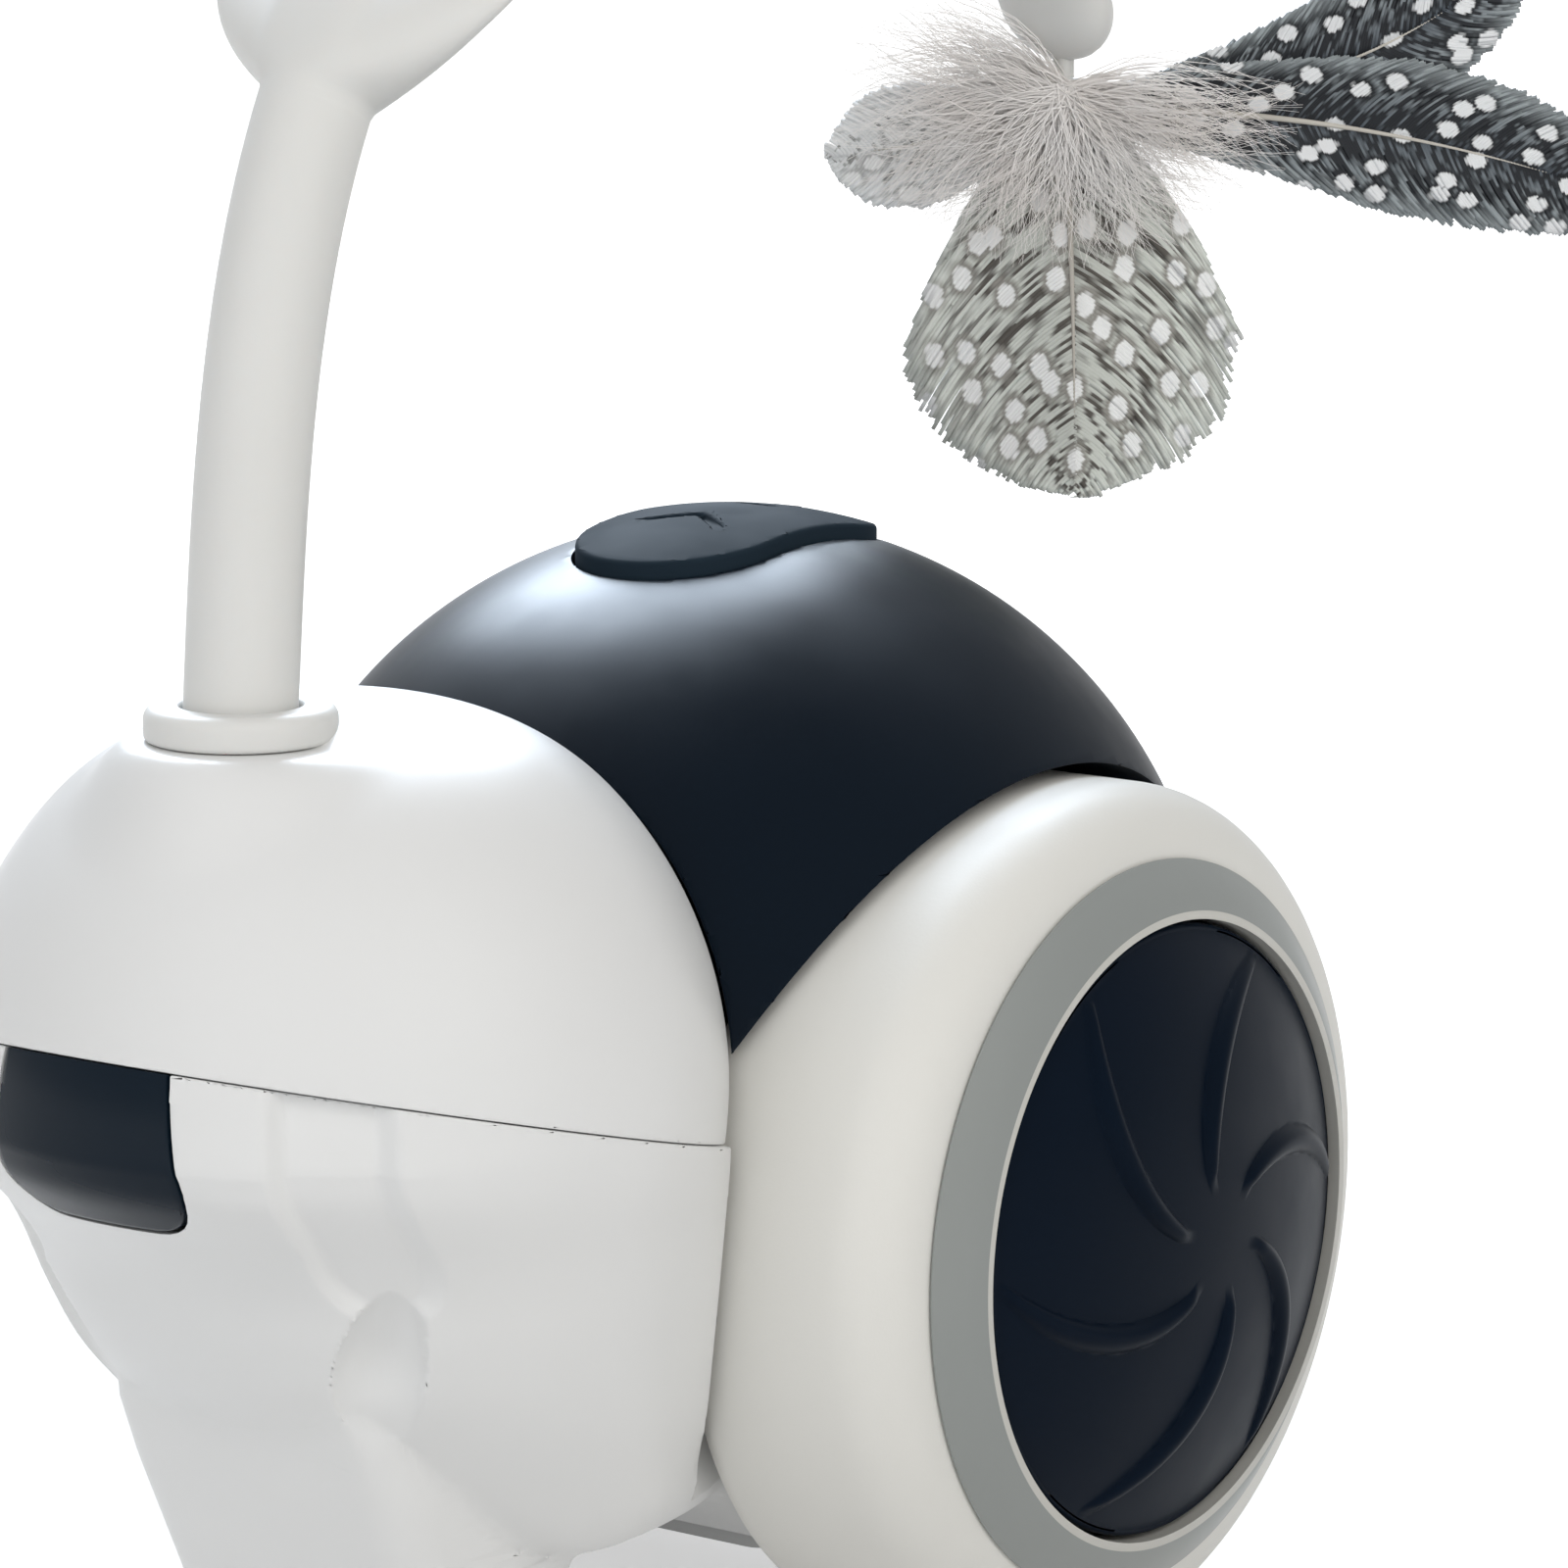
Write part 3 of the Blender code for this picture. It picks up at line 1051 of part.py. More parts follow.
def arm_stations():
    """Distances along the arm at which it has a section: close together where its form changes fast."""
    spans = ((0, LEAF_START, 6), (LEAF_START, LEAF_START + FLARE_LENGTH, 6),
             (LEAF_START + FLARE_LENGTH, arm_length - TIP_LENGTH, 13), (arm_length - TIP_LENGTH, arm_length, 7))
    stations = [0]
    for start, end, count in spans:
        stations += [start + (end - start) * (place + 1) / count for place in range(count)]
    return stations


def arm_line():
    """Middle line from the collar's top to the tip, as rows of (distance, point, lean)."""
    point = Vector((0, collar_y, COLLAR_TOP))
    here = 0
    line = []
    for station in arm_stations():
        step = (station - here) / FINE_STEPS
        for place in range(FINE_STEPS):
            lean = arm_lean(here + (place + 0.5) * step)
            point = point + Vector((0, sin(lean), cos(lean))) * step
        here = station
        line.append((here, point.copy(), arm_lean(here)))
    return line


def blend(low, high, value):
    """A smooth rise from 0 to 1 as value goes from low to high."""
    share = min(1, max(0, (value - low) / (high - low)))
    return share * share * (3 - 2 * share)


def arm_size(along):
    """Half width, half thickness, cup and spine height of the arm's section at a distance along it."""
    leaf_length = arm_length - LEAF_START
    share = (along - LEAF_START) / leaf_length
    if share <= 0:
        return STEM_RADIUS, STEM_RADIUS, 0, 0
    open_up = 1 - exp(-share / FLARE_SHARE)
    close_up = blend(1.02, 0.28, share)
    width = TIP_HALF_WIDTH + (LEAF_HALF_WIDTH - TIP_HALF_WIDTH) * close_up
    width = STEM_RADIUS + (width - STEM_RADIUS) * open_up
    thin = blend(0, 0.16, share)
    thick = STEM_RADIUS + (LEAF_HALF_THICKNESS - STEM_RADIUS) * thin
    thick = thick + (TIP_HALF_THICKNESS - thick) * blend(0.86, 0.97, share)
    cup = LEAF_CUP * blend(0.02, 0.25, share) * blend(1, 0.7, share)
    round_off = sqrt(max(0, 1 - max(0, (along - arm_length + TIP_HALF_WIDTH) / TIP_HALF_WIDTH) ** 2))
    spine = SPINE_HEIGHT * blend(0, SPINE_FULL_SHARE, share) * blend(*reversed(SPINE_FADE_SHARES), share)
    return width * max(0.22, round_off), thick * max(0.3, round_off), cup, spine


def arm_ring(along, point, lean):
    """The section across the arm: an ellipse whose side edges droop towards the inside of the arch,
    with a raised spine along the middle of its outer side, where its points crowd together."""
    half_width, half_thickness, cup, spine = arm_size(along)
    outward = Vector((0, -cos(lean), sin(lean)))
    ring = []
    for step in range(ARM_STEPS):
        angle = 2 * pi * step / ARM_STEPS
        angle += ARM_CROWD * sin(2 * angle)
        across = half_width * cos(angle)
        lift = half_thickness * sin(angle) - cup * (across / LEAF_HALF_WIDTH) ** 2
        if sin(angle) > 0:
            lift += spine * exp(-(across / SPINE_HALF_WIDTH) ** 4)
        ring.append(point + Vector((across, 0, 0)) + outward * lift)
    return ring


PLUG_DEPTH = 11 * mm
PLUG_STEPS = 2
arm_rows = arm_line()
plug_rows = [(0, Vector((0, collar_y, COLLAR_TOP - PLUG_DEPTH * (PLUG_STEPS - step) / PLUG_STEPS)), 0)
             for step in range(PLUG_STEPS)]
arm_rings = [arm_ring(*row) for row in plug_rows + arm_rows]
arm = loft("arm", arm_rings, "white_silicone")

# Lure: a clip whose ball snaps into the arm's tip, with four feathers and a tuft of down.
SNAP_RADIUS = 2.1 * mm
SNAP_SINK = 3.6 * mm
CLIP_NECK = 1.1 * mm
CLIP_LENGTH = 7.6 * mm
CLIP_RADIUS = 2.4 * mm
MOUTH_SLOPE = radians(20)
tip_end = arm_rows[-1][1]
snap_centre = tip_end + Vector((0, -sin(TIP_LEAN), -cos(TIP_LEAN))) * SNAP_SINK
clip_low = snap_centre.z - CLIP_LENGTH
cut(arm, ball("snap_pocket", snap_centre, (SNAP_RADIUS + RUN_GAP,) * 3, steps=SMALL_STEPS))
cut(arm, rod("snap_mouth", snap_centre, snap_centre - Vector((0, 0, 2 * SNAP_SINK)), CLIP_NECK + RUN_GAP,
             end_radius=CLIP_NECK + RUN_GAP + 2 * SNAP_SINK * tan(MOUTH_SLOPE)))
lure_clip = ball("lure_clip", snap_centre, (SNAP_RADIUS,) * 3, "white_silicone", steps=SMALL_STEPS // 2 + 2)
join(lure_clip, rod("clip_neck", snap_centre, (0, snap_centre.y, clip_low + CLIP_RADIUS / 2), CLIP_NECK,
                    steps=SMALL_STEPS // 2))
join(lure_clip, rod("clip_sleeve", (0, snap_centre.y, clip_low + CLIP_RADIUS), (0, snap_centre.y, clip_low),
                    CLIP_RADIUS * 0.7, steps=SMALL_STEPS // 2, end_radius=CLIP_RADIUS))

FEATHER_THICKNESS = 0.9 * mm
QUILL_HALF_WIDTH = 0.6 * mm
FEATHER_STATIONS = 14
facing = Vector((sin(radians(36.5)), -cos(radians(36.5)), 0))
rightward = Vector((cos(radians(36.5)), sin(radians(36.5)), 0))
upward = Vector((0, 0, 1))


def feather_rings(root, heading, bend, length, half_width, fullest_share):
    """Thin four-cornered sections along a spine that bends in the feather's own plane."""
    heading = heading.normalized()
    normal = facing
    side = normal.cross(heading).normalized()
    step = length / (FEATHER_STATIONS - 1)
    point = root.copy()
    rings = []
    for station in range(FEATHER_STATIONS):
        share = station / (FEATHER_STATIONS - 1)
        turn = Matrix.Rotation(bend * share, 3, normal)
        along = turn @ heading
        across = turn @ side
        swell = (share / fullest_share) ** 0.8 if share < fullest_share else 1
        fade = (share - fullest_share) / (1 - fullest_share) if share > fullest_share else 0
        width = max(QUILL_HALF_WIDTH, half_width * min(swell, sqrt(max(0, 1 - fade ** 2))))
        thick = FEATHER_THICKNESS / 2
        rings.append([point + across * width, point + normal * thick,
                      point - across * width, point - normal * thick])
        point = point + along * step
    return rings


ROOT_SPREAD = 1.2 * mm
clip_end = Vector((0, snap_centre.y, clip_low - FIT_GAP))
right_root = clip_end + rightward * ROOT_SPREAD - upward * ROOT_SPREAD / 2
left_root = clip_end - rightward * ROOT_SPREAD - upward * ROOT_SPREAD / 2

# Each feather: root, heading, bend, length, half width, where it is widest, and finish.
FEATHERS = {
    "feather_hanging": (clip_end + facing * ROOT_SPREAD, rightward * 0.07 - upward, radians(-4),
                        41 * mm, 18.5 * mm, 0.62, "feather_grey"),
    "feather_small": (left_root, -rightward * 0.85 - upward * 0.6, radians(-10),
                      24 * mm, 7 * mm, 0.6, "feather_grey"),
    "feather_dark_long": (right_root, rightward + upward * 0.02, radians(-22),
                          62 * mm, 8.5 * mm, 0.55, "feather_dark"),
    "feather_dark_upper": (right_root - facing * ROOT_SPREAD, rightward - upward * 0.05, radians(44),
                           50 * mm, 8 * mm, 0.6, "feather_dark"),
}
rear_reach = BODY_RADIUS
for name, (root, heading, bend, length, half_width, fullest_share, material) in FEATHERS.items():
    rings = feather_rings(root, heading, bend, length, half_width, fullest_share)
    rear_reach = max([rear_reach] + [point.y for ring in rings for point in ring])
    loft(name, rings, material)
TUFT_RADII = (11 * mm, 3 * mm, 8.5 * mm)
tuft_centre = clip_end + facing * (ROOT_SPREAD + FEATHER_THICKNESS + TUFT_RADII[1]) - upward * TUFT_RADII[2] * 0.75
down_tuft = ball("down_tuft", tuft_centre, TUFT_RADII, "down_white", steps=SMALL_STEPS,
                 turn=(0, 0, atan2(rightward.y, rightward.x)))

# The origin is under the middle of the whole toy, so everything moves by half the odd length.
front_reach = HEAD_AHEAD + HEAD_RADIUS
middle_shift = (front_reach - rear_reach) / 2
for thing in list(parts.objects) + list(cutters.objects):
    thing.location.y += middle_shift
bpy.context.view_layer.update()
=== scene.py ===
"""The finished look of the automatic cat toy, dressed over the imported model.
Lengths are in metres, +Z is up, the face looks along -Y and the wheels turn about X."""

import random
from math import atan2, cos, exp, pi, radians, sin, sqrt

import bmesh
import bpy
from mathutils import Matrix, Vector
from mathutils.kdtree import KDTree


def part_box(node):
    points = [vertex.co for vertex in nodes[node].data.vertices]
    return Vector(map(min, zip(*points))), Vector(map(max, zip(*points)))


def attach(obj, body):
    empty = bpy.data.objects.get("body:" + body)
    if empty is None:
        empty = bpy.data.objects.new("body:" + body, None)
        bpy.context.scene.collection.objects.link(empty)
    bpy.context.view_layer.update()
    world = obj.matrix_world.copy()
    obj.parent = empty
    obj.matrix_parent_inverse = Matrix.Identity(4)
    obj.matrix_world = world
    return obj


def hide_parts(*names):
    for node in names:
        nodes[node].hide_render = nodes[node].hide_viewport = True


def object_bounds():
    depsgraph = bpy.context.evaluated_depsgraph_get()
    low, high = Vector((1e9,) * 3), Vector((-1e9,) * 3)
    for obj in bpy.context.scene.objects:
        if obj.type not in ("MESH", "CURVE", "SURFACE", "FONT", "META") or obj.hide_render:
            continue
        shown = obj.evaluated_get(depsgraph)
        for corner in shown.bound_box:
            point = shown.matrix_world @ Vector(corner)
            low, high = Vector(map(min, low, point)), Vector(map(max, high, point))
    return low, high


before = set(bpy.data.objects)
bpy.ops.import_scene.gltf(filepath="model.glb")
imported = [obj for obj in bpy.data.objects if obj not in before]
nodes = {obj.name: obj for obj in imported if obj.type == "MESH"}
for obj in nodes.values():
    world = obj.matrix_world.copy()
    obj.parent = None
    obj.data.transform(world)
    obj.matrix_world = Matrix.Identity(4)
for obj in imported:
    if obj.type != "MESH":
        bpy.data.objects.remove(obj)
cad_low, cad_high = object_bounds()
mm = 0.001

# Lower shell
# One white ABS moulding: cheeks, belly bowl, axle drum and castor foot. The mould is lightly
# spark eroded, so the white is satin and its highlights are broad. It is split from the covers
# above it by a sloping seam.
tyre_low, tyre_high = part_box("tyre_right")
AXLE_Y = (tyre_low.y + tyre_high.y) / 2
AXLE_Z = (tyre_low.z + tyre_high.z) / 2
BODY_RADIUS = 48.1 * mm
BODY_CENTRE = Vector((0, AXLE_Y, AXLE_Z + 15.6 * mm))
HEAD_RADIUS = 36.2 * mm
HEAD_HALF_HEIGHT = 38.7 * mm
HEAD_CENTRE = Vector((0, AXLE_Y - 60 * mm, AXLE_Z + 18 * mm))
SEAM_TILT = radians(14.4)
SEAM_GAP = 0.12 * mm
SEAM_NORMAL = Vector((0, sin(SEAM_TILT), cos(SEAM_TILT)))
SHELL_WALL = 2.2 * mm
FIT_GAP = 0.3 * mm
OVERRUN = 3 * mm
WHEEL_GAP = 1.3 * mm
WELL_RADIUS = (tyre_high.z - tyre_low.z) / 2 + WHEEL_GAP
WELL_INNER_X = tyre_low.x - WHEEL_GAP
BOWL_BOTTOM = 13 * mm
BOWL_TOP = 72 * mm
DRUM_RADIUS = 36.5 * mm
DRUM_EDGE = 5 * mm
FOOT_TOP = 46 * mm
FOOT_BOTTOM = 3.4 * mm
FOOT_HALF_WIDTH = 17 * mm
FOOT_FRONT = 63.5 * mm
FOOT_BACK = 43 * mm
FOOT_TOP_LEAN = 17.4 * mm
FOOT_CORNER = 5 * mm
FOOT_TAPER = 0.1
FOOT_ROOM_BOTTOM = 17 * mm
MERGE_REACH = 0.05 * mm
CREASE_REACH = 4.5 * mm
EDGE = 0.22 * mm

# Height share from the bowl's bottom to the head's middle, then half width, middle, front and
# back of that level section as shares of the head's radius.
BOWL_SHARES = [
    (1.000, 1.000, 0.000, 1.000, 1.000),
    (0.934, 0.996, 0.020, 0.980, 1.004),
    (0.868, 0.982, 0.045, 0.925, 1.015),
    (0.800, 0.960, 0.075, 0.865, 1.035),
    (0.710, 0.935, 0.115, 0.815, 1.060),
    (0.600, 0.905, 0.165, 0.800, 1.085),
    (0.480, 0.865, 0.225, 0.770, 1.105),
    (0.360, 0.815, 0.290, 0.680, 1.110),
    (0.240, 0.740, 0.365, 0.590, 1.085),
    (0.140, 0.670, 0.430, 0.500, 1.010),
    (0.065, 0.560, 0.470, 0.400, 0.860),
    (0.018, 0.380, 0.500, 0.280, 0.600),
    (0.000, 0.120, 0.520, 0.090, 0.200),
]


def colour(hex_value):
    """An sRGB hex colour as linear light with full alpha."""
    channels = [int(hex_value[place:place + 2], 16) / 255 for place in (0, 2, 4)]
    return [c / 12.92 if c <= 0.04045 else ((c + 0.055) / 1.055) ** 2.4 for c in channels] + [1]


def add(tree, kind, sockets=None, **settings):
    """Add a node, with its settings, and link or set its inputs. A node as a value is its first output."""
    made = tree.nodes.new("ShaderNode" + kind)
    for name, value in settings.items():
        setattr(made, name, value)
    for name, value in (sockets or {}).items():
        if isinstance(value, bpy.types.Node):
            value = value.outputs[0]
        if isinstance(value, bpy.types.NodeSocket):
            tree.links.new(value, made.inputs[name])
        else:
            made.inputs[name].default_value = value
    return made


def new_material(name):
    """A material with an empty node tree, and that tree."""
    material = bpy.data.materials.new(name)
    material.use_nodes = True
    material.node_tree.nodes.clear()
    return material, material.node_tree


def moulded(name, tone, second_tone, roughness, grain, depth, shine=0.5, **gloss):
    """A moulded plastic or rubber: two close tones in soft clouds and a fine grain of that size and depth."""
    cloud_size = 35 * mm
    rub_size = 9 * mm
    material, tree = new_material(name)
    place = add(tree, "TexCoord").outputs["Object"]
    cloud = add(tree, "TexNoise", {"Vector": place, "Scale": 1 / cloud_size, "Detail": 3})
    tint = add(tree, "Mix", {"Factor": cloud, 6: colour(tone), 7: colour(second_tone)}, data_type="RGBA")
    rub = add(tree, "TexNoise", {"Vector": place, "Scale": 1 / rub_size, "Detail": 4})
    matt = add(tree, "MapRange", {
        "Value": rub, "From Min": 0.3, "From Max": 0.7, "To Min": roughness - 0.03,
        "To Max": roughness + 0.05})
    speck = add(tree, "TexNoise", {"Vector": place, "Scale": 1 / grain, "Detail": 2})
    bump = add(tree, "Bump", {"Height": speck, "Strength": 1, "Distance": depth})
    shader = add(tree, "BsdfPrincipled", {
        "Base Color": tint.outputs[2], "Roughness": matt, "Normal": bump,
        "Specular IOR Level": shine, **gloss})
    add(tree, "OutputMaterial", {"Surface": shader})
    return material


def piece(name, shape, *materials, sharp=radians(38)):
    """Make an object of a finished shape, smooth apart from its sharp edges."""
    mesh = bpy.data.meshes.new(name)
    shape.to_mesh(mesh)
    shape.free()
    for material in materials:
        mesh.materials.append(material)
    mesh.shade_smooth()
    mesh.set_sharp_from_angle(angle=sharp)
    made = bpy.data.objects.new(name, mesh)
    bpy.context.scene.collection.objects.link(made)
    return made


def carve(shape, *others, way="DIFFERENCE"):
    """Cut, join or intersect a closed shape with other closed shapes, one after the other."""
    for other in others:
        body = piece("carved", shape)
        tool = piece("tool", other)
        step = body.modifiers.new("carve", "BOOLEAN")
        step.object = tool
        step.operation = way
        step.solver = "MANIFOLD"
        ready = body.evaluated_get(bpy.context.evaluated_depsgraph_get())
        shape = bmesh.new()
        shape.from_mesh(ready.to_mesh())
        for used in (body, tool):
            bpy.data.objects.remove(used)
    return shape


def ball(centre, radii, steps=96):
    """A round or egg-shaped solid."""
    shape = bmesh.new()
    place = Matrix.Translation(centre) @ Matrix.Diagonal((*radii, 1))
    bmesh.ops.create_uvsphere(shape, u_segments=steps, v_segments=steps // 2, radius=1, matrix=place)
    return shape


def rod(start, end, radius, end_radius=None, steps=64):
    """A straight round bar or cone between two points."""
    along = Vector(end) - Vector(start)
    turn = along.to_track_quat("Z", "Y").to_matrix().to_4x4()
    shape = bmesh.new()
    bmesh.ops.create_cone(shape, cap_ends=True, segments=steps, radius1=radius,
                          radius2=radius if end_radius is None else end_radius, depth=along.length,
                          matrix=Matrix.Translation((Vector(start) + Vector(end)) / 2) @ turn)
    return shape


def tube(steps, rows, taper=1):
    """An upright unit cylinder, or a cone that narrows to taper, divided into rows along its height."""
    shape = bmesh.new()
    bmesh.ops.create_cone(shape, cap_ends=True, segments=steps, radius1=1, radius2=taper, depth=1)
    uprights = [edge for edge in shape.edges if abs(edge.verts[0].co.z - edge.verts[1].co.z) > 0.5]
    bmesh.ops.subdivide_edges(shape, edges=uprights, cuts=rows - 1, use_grid_fill=True)
    return shape


def round_edges(shape, edges, offset, segments, **settings):
    """Round some edges of a shape."""
    bmesh.ops.bevel(shape, geom=edges, offset=offset, segments=segments, profile=0.5, affect="EDGES",
                    material=-1, **settings)


def wells(grow, steps=160):
    """Both wheel wells, grown into the body by grow."""
    reach = BODY_RADIUS + OVERRUN
    shape = bmesh.new()
    for side in (-1, 1):
        middle = side * (WELL_INNER_X - grow + reach) / 2
        place = Matrix.Translation((middle, AXLE_Y, AXLE_Z)) @ Matrix.Rotation(pi / 2, 4, "Y")
        bmesh.ops.create_cone(shape, cap_ends=True, segments=steps, radius1=WELL_RADIUS + grow,
                              radius2=WELL_RADIUS + grow, depth=reach - WELL_INNER_X + grow, matrix=place)
    return shape


def split(shape, side):
    """Keep what lies above (side 1) or below (side -1) the seam, and close the cut."""
    point = HEAD_CENTRE + SEAM_NORMAL * side * SEAM_GAP / 2
    everything = shape.verts[:] + shape.edges[:] + shape.faces[:]
    cut = bmesh.ops.bisect_plane(shape, geom=everything, dist=0.001 * mm, plane_co=point,
                                 plane_no=SEAM_NORMAL * -side, clear_outer=True)
    edges = [item for item in cut["geom_cut"] if isinstance(item, bmesh.types.BMEdge)]
    bmesh.ops.holes_fill(shape, edges=edges, sides=0)
    return shape


def smooth_step(low, high, value):
    """A smooth rise from 0 to 1 as value goes from low to high."""
    share = min(1, max(0, (value - low) / (high - low)))
    return share * share * (3 - 2 * share)


def bowl_section(z):
    """Half width, middle, front and back of the bowl at a height, on a smooth curve through its sections."""
    share = (z - BOWL_BOTTOM) / (HEAD_CENTRE.z - BOWL_BOTTOM)
    if share >= 1:
        radius = HEAD_RADIUS * sqrt(max(0, 1 - ((z - HEAD_CENTRE.z) / HEAD_HALF_HEIGHT) ** 2))
        return radius, HEAD_CENTRE.y, radius, radius
    share = max(0, share)
    last = len(BOWL_SHARES) - 1
    here = next(row for row in range(last) if share >= BOWL_SHARES[row + 1][0])
    upper, lower = BOWL_SHARES[here], BOWL_SHARES[here + 1]
    above, below = BOWL_SHARES[max(0, here - 1)], BOWL_SHARES[min(last, here + 2)]
    span = upper[0] - lower[0]
    t = (share - lower[0]) / span
    sizes = []
    for place in range(1, 5):
        low_slope = (upper[place] - below[place]) / (upper[0] - below[0]) * span
        high_slope = (above[place] - lower[place]) / (above[0] - lower[0]) * span
        sizes.append(lower[place] * (2 * t ** 3 - 3 * t ** 2 + 1) + low_slope * (t ** 3 - 2 * t ** 2 + t)
                     + upper[place] * (3 * t ** 2 - 2 * t ** 3) + high_slope * (t ** 3 - t ** 2))
    width, middle, front, back = (size * HEAD_RADIUS for size in sizes)
    return width, HEAD_CENTRE.y + middle, front, back


def bowl(grow, steps):
    """Cheeks and belly, made from a sphere whose level rings become the bowl's sections."""
    shape = bmesh.new()
    bmesh.ops.create_uvsphere(shape, u_segments=steps, v_segments=steps // 2, radius=1)
    for vert in shape.verts:
        z = BOWL_BOTTOM + (BOWL_TOP - BOWL_BOTTOM) * (vert.co.z + 1) / 2
        half_width, middle, front, back = bowl_section(z)
        close = 0 if abs(vert.co.z) > 0.99999 else 1
        across = Vector((vert.co.x, vert.co.y, 0)).normalized() * close
        reach = front if across.y < 0 else back
        level = (BOWL_BOTTOM + BOWL_TOP) / 2
        vert.co = (across.x * max(0, half_width + grow), middle + across.y * max(0, reach + grow),
                   level + (z - level) * (1 + grow / (level - BOWL_BOTTOM)))
    return shape


def foot(grow, bottom, steps=60):
    """The castor foot: a round-cornered block that leans forward as it rises."""
    shape = tube(steps, 29)
    middle = -(FOOT_FRONT + FOOT_BACK) / 2
    half_length = (FOOT_FRONT - FOOT_BACK) / 2 + grow
    for vert in shape.verts:
        share = vert.co.z + 0.5
        half_width = FOOT_HALF_WIDTH * (1 - FOOT_TAPER * max(0, 1 - 2 * share)) + grow
        lean = FOOT_TOP_LEAN * share
        x = FOOT_CORNER * vert.co.x + (half_width - FOOT_CORNER) * (1 if vert.co.x > 0 else -1)
        y = FOOT_CORNER * vert.co.y
        y += (half_length + lean / 2 - FOOT_CORNER) * (1 if vert.co.y > 0 else -1) + middle - lean / 2
        vert.co = (x, AXLE_Y + y, bottom + share * (FOOT_TOP - bottom))
    return shape


def drum(grow):
    """The round part about the axle, between the wheels."""
    half = WELL_INNER_X - FIT_GAP + grow
    shape = rod((-half, AXLE_Y, AXLE_Z), (half, AXLE_Y, AXLE_Z), DRUM_RADIUS + grow, steps=96)
    if not grow:
        rims = [edge for edge in shape.edges if edge.calc_face_angle(0) > 1]
        round_edges(shape, rims, DRUM_EDGE, 6)
    return shape


def melt_creases(shape, reach, passes=14):
    """Round the inner corners where joined forms meet, as a mould's fillets do."""
    corners = [edge for edge in shape.edges
               if len(edge.link_faces) == 2 and not edge.is_convex and edge.calc_face_angle(0) > radians(9)]
    tree = KDTree(2 * len(corners))
    for number, edge in enumerate(corners):
        tree.insert(edge.verts[0].co, 2 * number)
        tree.insert(edge.verts[1].co, 2 * number + 1)
    tree.balance()
    away = {vert: tree.find(vert.co)[2] for vert in shape.verts}
    for number in range(passes):
        limit = reach * (1 - number / (passes + 4))
        near = [vert for vert, distance in away.items() if distance < limit]
        bmesh.ops.smooth_vert(shape, verts=near, factor=0.5, use_axis_x=True, use_axis_y=True,
                              use_axis_z=True)


def ease_edges(shape, width, segments=2, angle=radians(40)):
    """Break the sharp edges of a carved shape by a small round."""
    sharp = [edge for edge in shape.edges if len(edge.link_faces) == 2 and edge.calc_face_angle(0) > angle]
    ends = {vert for edge in sharp for vert in edge.verts}
    bmesh.ops.remove_doubles(shape, verts=[vert for vert in shape.verts if vert in ends], dist=width * 0.6)
    bmesh.ops.dissolve_degenerate(shape, dist=width * 0.1, edges=shape.edges)
    sharp = [edge for edge in shape.edges if len(edge.link_faces) == 2 and edge.calc_face_angle(0) > angle]
    round_edges(shape, sharp, width, segments, clamp_overlap=False)


white_abs = moulded("white_moulded_abs", "E9E9E8", "E4E5E5", 0.36, 0.35 * mm, 0.004 * mm)

# Cheek marks: a shallow upright groove and, beside and below it, a leaning egg-shaped hollow that
# is wider and fades out at its bottom.
GROOVE_TURN = radians(39.5)
GROOVE_HALF = 5.5 * mm
GROOVE_DEPTH = 1.7 * mm
GROOVE_LOW = 44.6 * mm
GROOVE_SOFT = 1.6 * mm
HOLLOW_TURN = radians(36)
HOLLOW_Z = 40.2 * mm
HOLLOW_LEAN = radians(0.64) / mm
HOLLOW_HALF_WIDTH = 4.1 * mm
HOLLOW_HALF_HEIGHT = 8.6 * mm
HOLLOW_DEPTH = 3.6 * mm
HOLLOW_NARROWING = 0.2
HOLLOW_LOW_DEPTH = 0.25
HOLLOW_FADE = (-0.9, 0.3)
HOLLOW_ROUNDNESS = 0.55
MARKS_BELOW = 11 * mm
MARKS_HALF_TURN = radians(19)


def cheek_turn(co):
    """How far round the bowl a point is from the face's middle."""
    half_width, middle, front, back = bowl_section(co.z)
    return atan2(abs(co.x) / half_width, (middle - co.y) / front)


def divide_cheeks(shape):
    """Divide the faces where the marks will be, so that the marks come out crisp."""
    near = [edge for edge in shape.edges
            if all(HOLLOW_Z - MARKS_BELOW < vert.co.z < BOWL_TOP
                   and abs(cheek_turn(vert.co) - HOLLOW_TURN) < MARKS_HALF_TURN for vert in edge.verts)]
    bmesh.ops.subdivide_edges(shape, edges=near, cuts=2, use_grid_fill=True)


